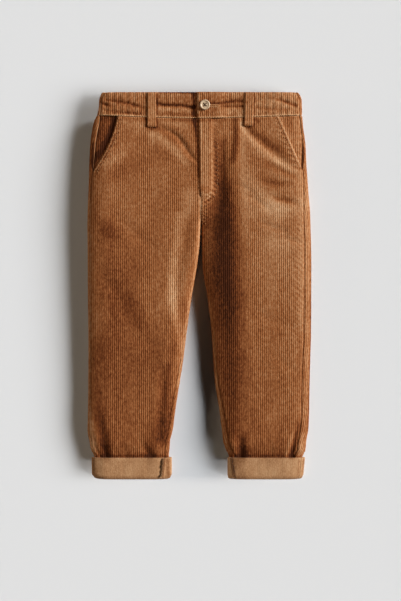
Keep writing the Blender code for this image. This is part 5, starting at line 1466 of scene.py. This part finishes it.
def loop_thread():
    """Edge stitching and the tack at the foot of each front loop."""
    sewn = Thread()
    for loop in FRONT_LOOPS:
        line = loop_line(loop)
        height = Curve(line, ("y", "z"), "z")
        high_y, low_y = line[0][0], line[-1][0]

        def place(x, y, above):
            return np.array((x + loop.lean * (high_y - y) / (high_y - low_y), y, height(y) + above))

        for off in LOOP_STITCH_X:
            path = [(loop.x + off, y) for y in np.linspace(high_y - 1.5, low_y + 3.0, 20)]
            sewn.row(path, place, LOOP_THICK + 0.30, 2.2, 0.6, 0.24)
        for x in loop.x + np.linspace(-5.0, 5.0, 9):
            sewn.stitch(place(x - 0.35, low_y + 5.6, LOOP_THICK + 0.7),
                        place(x + 0.35, low_y + 4.4, LOOP_THICK + 0.8), 0.3)
    return sewn.done("belt_loop_stitching", tonal_thread)


def lathe(name, profile, sides, x, y, z):
    """A profile of (radius, height) turned round an upright axis at x, y."""
    points = [(x + r * cosine, y + r * sine, z + h) for r, h in profile for cosine, sine in circle(sides)]
    return mesh_object(name, np.array(points), tube_faces(len(profile), sides), (button_resin,), None, 40.0)


def button():
    """Four-hole button with a raised rim, sewn through its holes from corner to corner."""
    x, y = BUTTON_AT
    radius = 0.5 * BUTTON_DIAMETER
    rest = max(skin_top(x, y + radius * u) for u in (-1.0, -0.5, 0.0, 0.5, 1.0)) + WALE_HEIGHT + 0.2
    profile = [(radius - inset, height) for inset, height in BUTTON_RIM]
    made = lathe("button_four_hole", [*profile, (0.5 * radius, 1.82), (0.2, 1.8)], 64, x, y, rest)
    reach = BUTTON_HOLE_SPACING / math.sqrt(2.0)
    turns = [math.radians(45.0 + 90.0 * k) for k in range(4)]
    holes = [np.array((x + reach * math.cos(turn), y + reach * math.sin(turn))) for turn in turns]
    drills = []
    for hole in holes:
        drill = lathe("drill", ((0.5 * BUTTON_HOLE, -4.0), (0.5 * BUTTON_HOLE, 8.0)), 24, *hole, rest)
        cut = made.modifiers.new("hole", "BOOLEAN")
        cut.object, cut.operation, cut.solver = drill, "DIFFERENCE", "EXACT"
        drills.append(drill)
    bpy.context.view_layer.update()
    shaped = bpy.data.meshes.new_from_object(made.evaluated_get(bpy.context.evaluated_depsgraph_get()))
    made.modifiers.clear()
    made.data = shaped
    made.data.shade_smooth()
    made.data.set_sharp_from_angle(angle=math.radians(40.0))
    for drill in drills:
        bpy.data.objects.remove(drill)
    sewn = Thread()
    for a, b, lift in ((holes[0], holes[2], 2.1), (holes[1], holes[3], 2.35)):
        for off in (-0.28, 0.28):
            across = np.array((a[1] - b[1], b[0] - a[0])) / np.hypot(*(b - a)) * off
            sewn.stitch((*(a + across), rest + lift), (*(b + across), rest + lift), 0.3, arch=0.6)
    return made, sewn.done("button_thread", dark_thread)


def buttonhole():
    """Worked buttonhole beside the button: short stitches along both sides of a slit and round its end."""
    sewn = Thread()
    y = BUTTON_AT[1]
    for x in BUTTONHOLE_X[0] + 0.66 * np.arange(20):
        for sign in (-1.0, 1.0):
            sewn.stitch(band_point(x, y + sign * 0.5, WALE_HEIGHT),
                        band_point(x + 0.2, y + sign * 1.9, WALE_HEIGHT), 0.27)
    for turn in np.radians((-60.0, -30.0, 0.0, 30.0, 60.0)):
        along, across = math.cos(turn), math.sin(turn)
        sewn.stitch(band_point(BUTTONHOLE_X[1] + 0.4 * along, y + 0.5 * across, WALE_HEIGHT),
                    band_point(BUTTONHOLE_X[1] + 1.6 * along, y + 1.8 * across, WALE_HEIGHT), 0.27)
    return sewn.done("buttonhole_stitching", tonal_thread)


# ---------------------------------------------------------------- hem allowances

def allowance_skin(side, y):
    """The skin of a turn-up at y, and where the inseam allowance starts on it."""
    sizes = cuff_section(side, y)
    run = top_run(side, y, sizes)
    return run, run.s_at(sizes.inner + sizes.inseam) - 0.4 * ALLOWANCE_WIDTH


def allowance(side):
    """Overlocked inseam allowance, which shows on the turned-up hem."""
    rows = []
    for y in np.linspace(CUFF_TOP_Y - 0.6, CUFF_FOLD_Y + 2.4, ALLOWANCE_ROWS):
        run, start = allowance_skin(side, y)
        scallop = 0.35 * abs(math.sin(math.pi * y / (2.0 * OVERLOCK_PITCH)))
        share = np.linspace(0.0, 1.0, ALLOWANCE_POINTS)
        s = np.linspace(start, start + ALLOWANCE_WIDTH + scallop, ALLOWANCE_POINTS)
        rounding = 0.45 * near(np.minimum(s - s[0], s[-1] - s), 0.5)
        nets = []
        for above, cord in ((ALLOWANCE_TOP - rounding, 0.5), (GAP + 0.1, 0.0)):
            p, z = run.at(s, above)
            nets.append(Net(share, side * p, y, z, cord, s / WALE_PITCH))
        rows.append(nets)
    return wall("inseam_allowance_" + NAMES[side], rows, wrong_side, wrong_side)


def overlock(side):
    """Overlock thread over the edge of the allowance: slanted stitches and a scalloped edge."""
    sewn = Thread()

    def place(u, y, above):
        run, start = allowance_skin(side, y)
        p, z = run.at(start + u, above)
        return side * p, y, z

    for y in np.arange(CUFF_FOLD_Y + 4.0, CUFF_TOP_Y - 1.6, OVERLOCK_PITCH):
        bulge = 0.5 * math.sin(0.9 * y) + 0.4 * math.sin(0.37 * y + side)
        edge = ALLOWANCE_WIDTH + 0.6 + bulge
        sewn.stitch(place(ALLOWANCE_WIDTH - 2.4, y, ALLOWANCE_TOP + 0.30),
                    place(edge, y + 0.8, ALLOWANCE_TOP + 0.10), 0.38)
        sewn.stitch(place(edge + 0.15, y + 0.9, 0.6 * ALLOWANCE_TOP),
                    place(edge, y - 0.8, 0.6 * ALLOWANCE_TOP), 0.5)
    return sewn.done("overlock_" + NAMES[side], dark_thread)


# ---------------------------------------------------------------- assembly

def give(made, nodes):
    """Put a piece on the body, and hide the CAD nodes whose place it takes."""
    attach(made, "root")
    if nodes:
        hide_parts(*nodes)


for side in (-1, 1):
    name = NAMES[side]
    piece = front(side)
    give(piece, ["front_" + name])
    piece = back(side)
    give(piece, ["back_" + name])
    piece = pocket_facing(side)
    give(piece, ["pocket_facing_" + name])
    piece = band_front(side)
    give(piece, ["waistband_" + name])
    for part in ("front", "back"):
        piece = cuff(side, part)
        give(piece, [f"cuff_{part}_{name}"])
    piece = allowance(side)
    give(piece, ["seam_allowance_" + name])
    give(overlock(side), [])

piece = band_back()
give(piece, ["waistband_back"])

for loop in (*FRONT_LOOPS, *BACK_LOOPS):
    piece = strap(loop, loop_line(loop))
    give(piece, [loop.name])
for sewn in (loop_thread(), front_thread(), band_thread(), buttonhole()):
    give(sewn, [])
resin, thread = button()
give(resin, ["button"])
give(thread, [])

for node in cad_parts.values():
    if not node.hide_render:
        for place in node.material_slots:
            place.material = zip_tape


# ---------------------------------------------------------------- floor, light, camera

def floor():
    """The plain surface that the garment lies on."""
    mesh = bpy.data.meshes.new("floor")
    corners = [(FLOOR_HALF * x, FLOOR_HALF * y, FLOOR_Z) for x, y in ((-1, -1), (1, -1), (1, 1), (-1, 1))]
    mesh.from_pydata(corners, [], [(0, 1, 2, 3)])
    mesh.materials.append(Graph("floor_paper").finish(FLOOR_GREY, 0.95, None, Specular_IOR_Level=0.0))
    made = add_object("floor", mesh)


def sun(name, azimuth, elevation, strength, angle, colour):
    """A soft directional light. Azimuth 0 comes from +X, 90 from +Y."""
    data = bpy.data.lights.new(name, "SUN")
    data.energy = strength
    data.angle = math.radians(angle)
    data.color = colour
    made = add_object(name, data)
    a, e = math.radians(azimuth), math.radians(elevation)
    towards = Vector((math.cos(a) * math.cos(e), math.sin(a) * math.cos(e), math.sin(e)))
    made.rotation_mode = "QUATERNION"
    made.rotation_quaternion = towards.to_track_quat("Z", "Y")
    return made


def collection_of(name, objects):
    made = bpy.data.collections.new(name)
    for member in objects:
        made.objects.link(member)
    return made


def only(light, receivers, blockers=None):
    """The light reaches these objects alone, and these alone throw its shadow."""
    light.light_linking.receiver_collection = collection_of("lit_by_" + light.name, receivers)
    if blockers is not None:
        light.light_linking.blocker_collection = collection_of("shading_" + light.name, blockers)


def studio():
    """Lights for the cloth and, apart from them, for the floor."""
    cloth = [o for o in bpy.context.scene.objects if o.type == "MESH" and o.name != "floor"]
    thick = [o for o in cloth if not o.name.startswith(WAIST_END + HEM_END)]
    floor = [bpy.data.objects["floor"]]
    for light in CLOTH_LIGHTS:
        only(sun(*light), cloth)
    for azimuth, ends in LOW_KEYS:
        low = sun(f"low_key_{azimuth}", azimuth, *LOW_KEY)
        only(low, floor, thick + [o for o in cloth if ends and o.name.startswith(ends)])
    only(sun(*LOW_FILL), floor, [o for o in cloth if o.name.endswith("_right")])
    world = bpy.data.worlds.new("studio")
    world.use_nodes = True
    world.node_tree.nodes["Background"].inputs["Color"].default_value = WORLD_COLOUR
    world.node_tree.nodes["Background"].inputs["Strength"].default_value = WORLD_STRENGTH
    bpy.context.scene.world = world
    bpy.context.scene.view_settings.view_transform = "Standard"


def camera():
    """Straight above the garment."""
    data = bpy.data.cameras.new("camera")
    data.lens = 85.0
    data.sensor_width = 36.0
    data.clip_start, data.clip_end = 0.05, 20.0
    made = add_object("camera", data)
    made.location = CAMERA_AT
    bpy.context.scene.camera = made


floor()
studio()
camera()
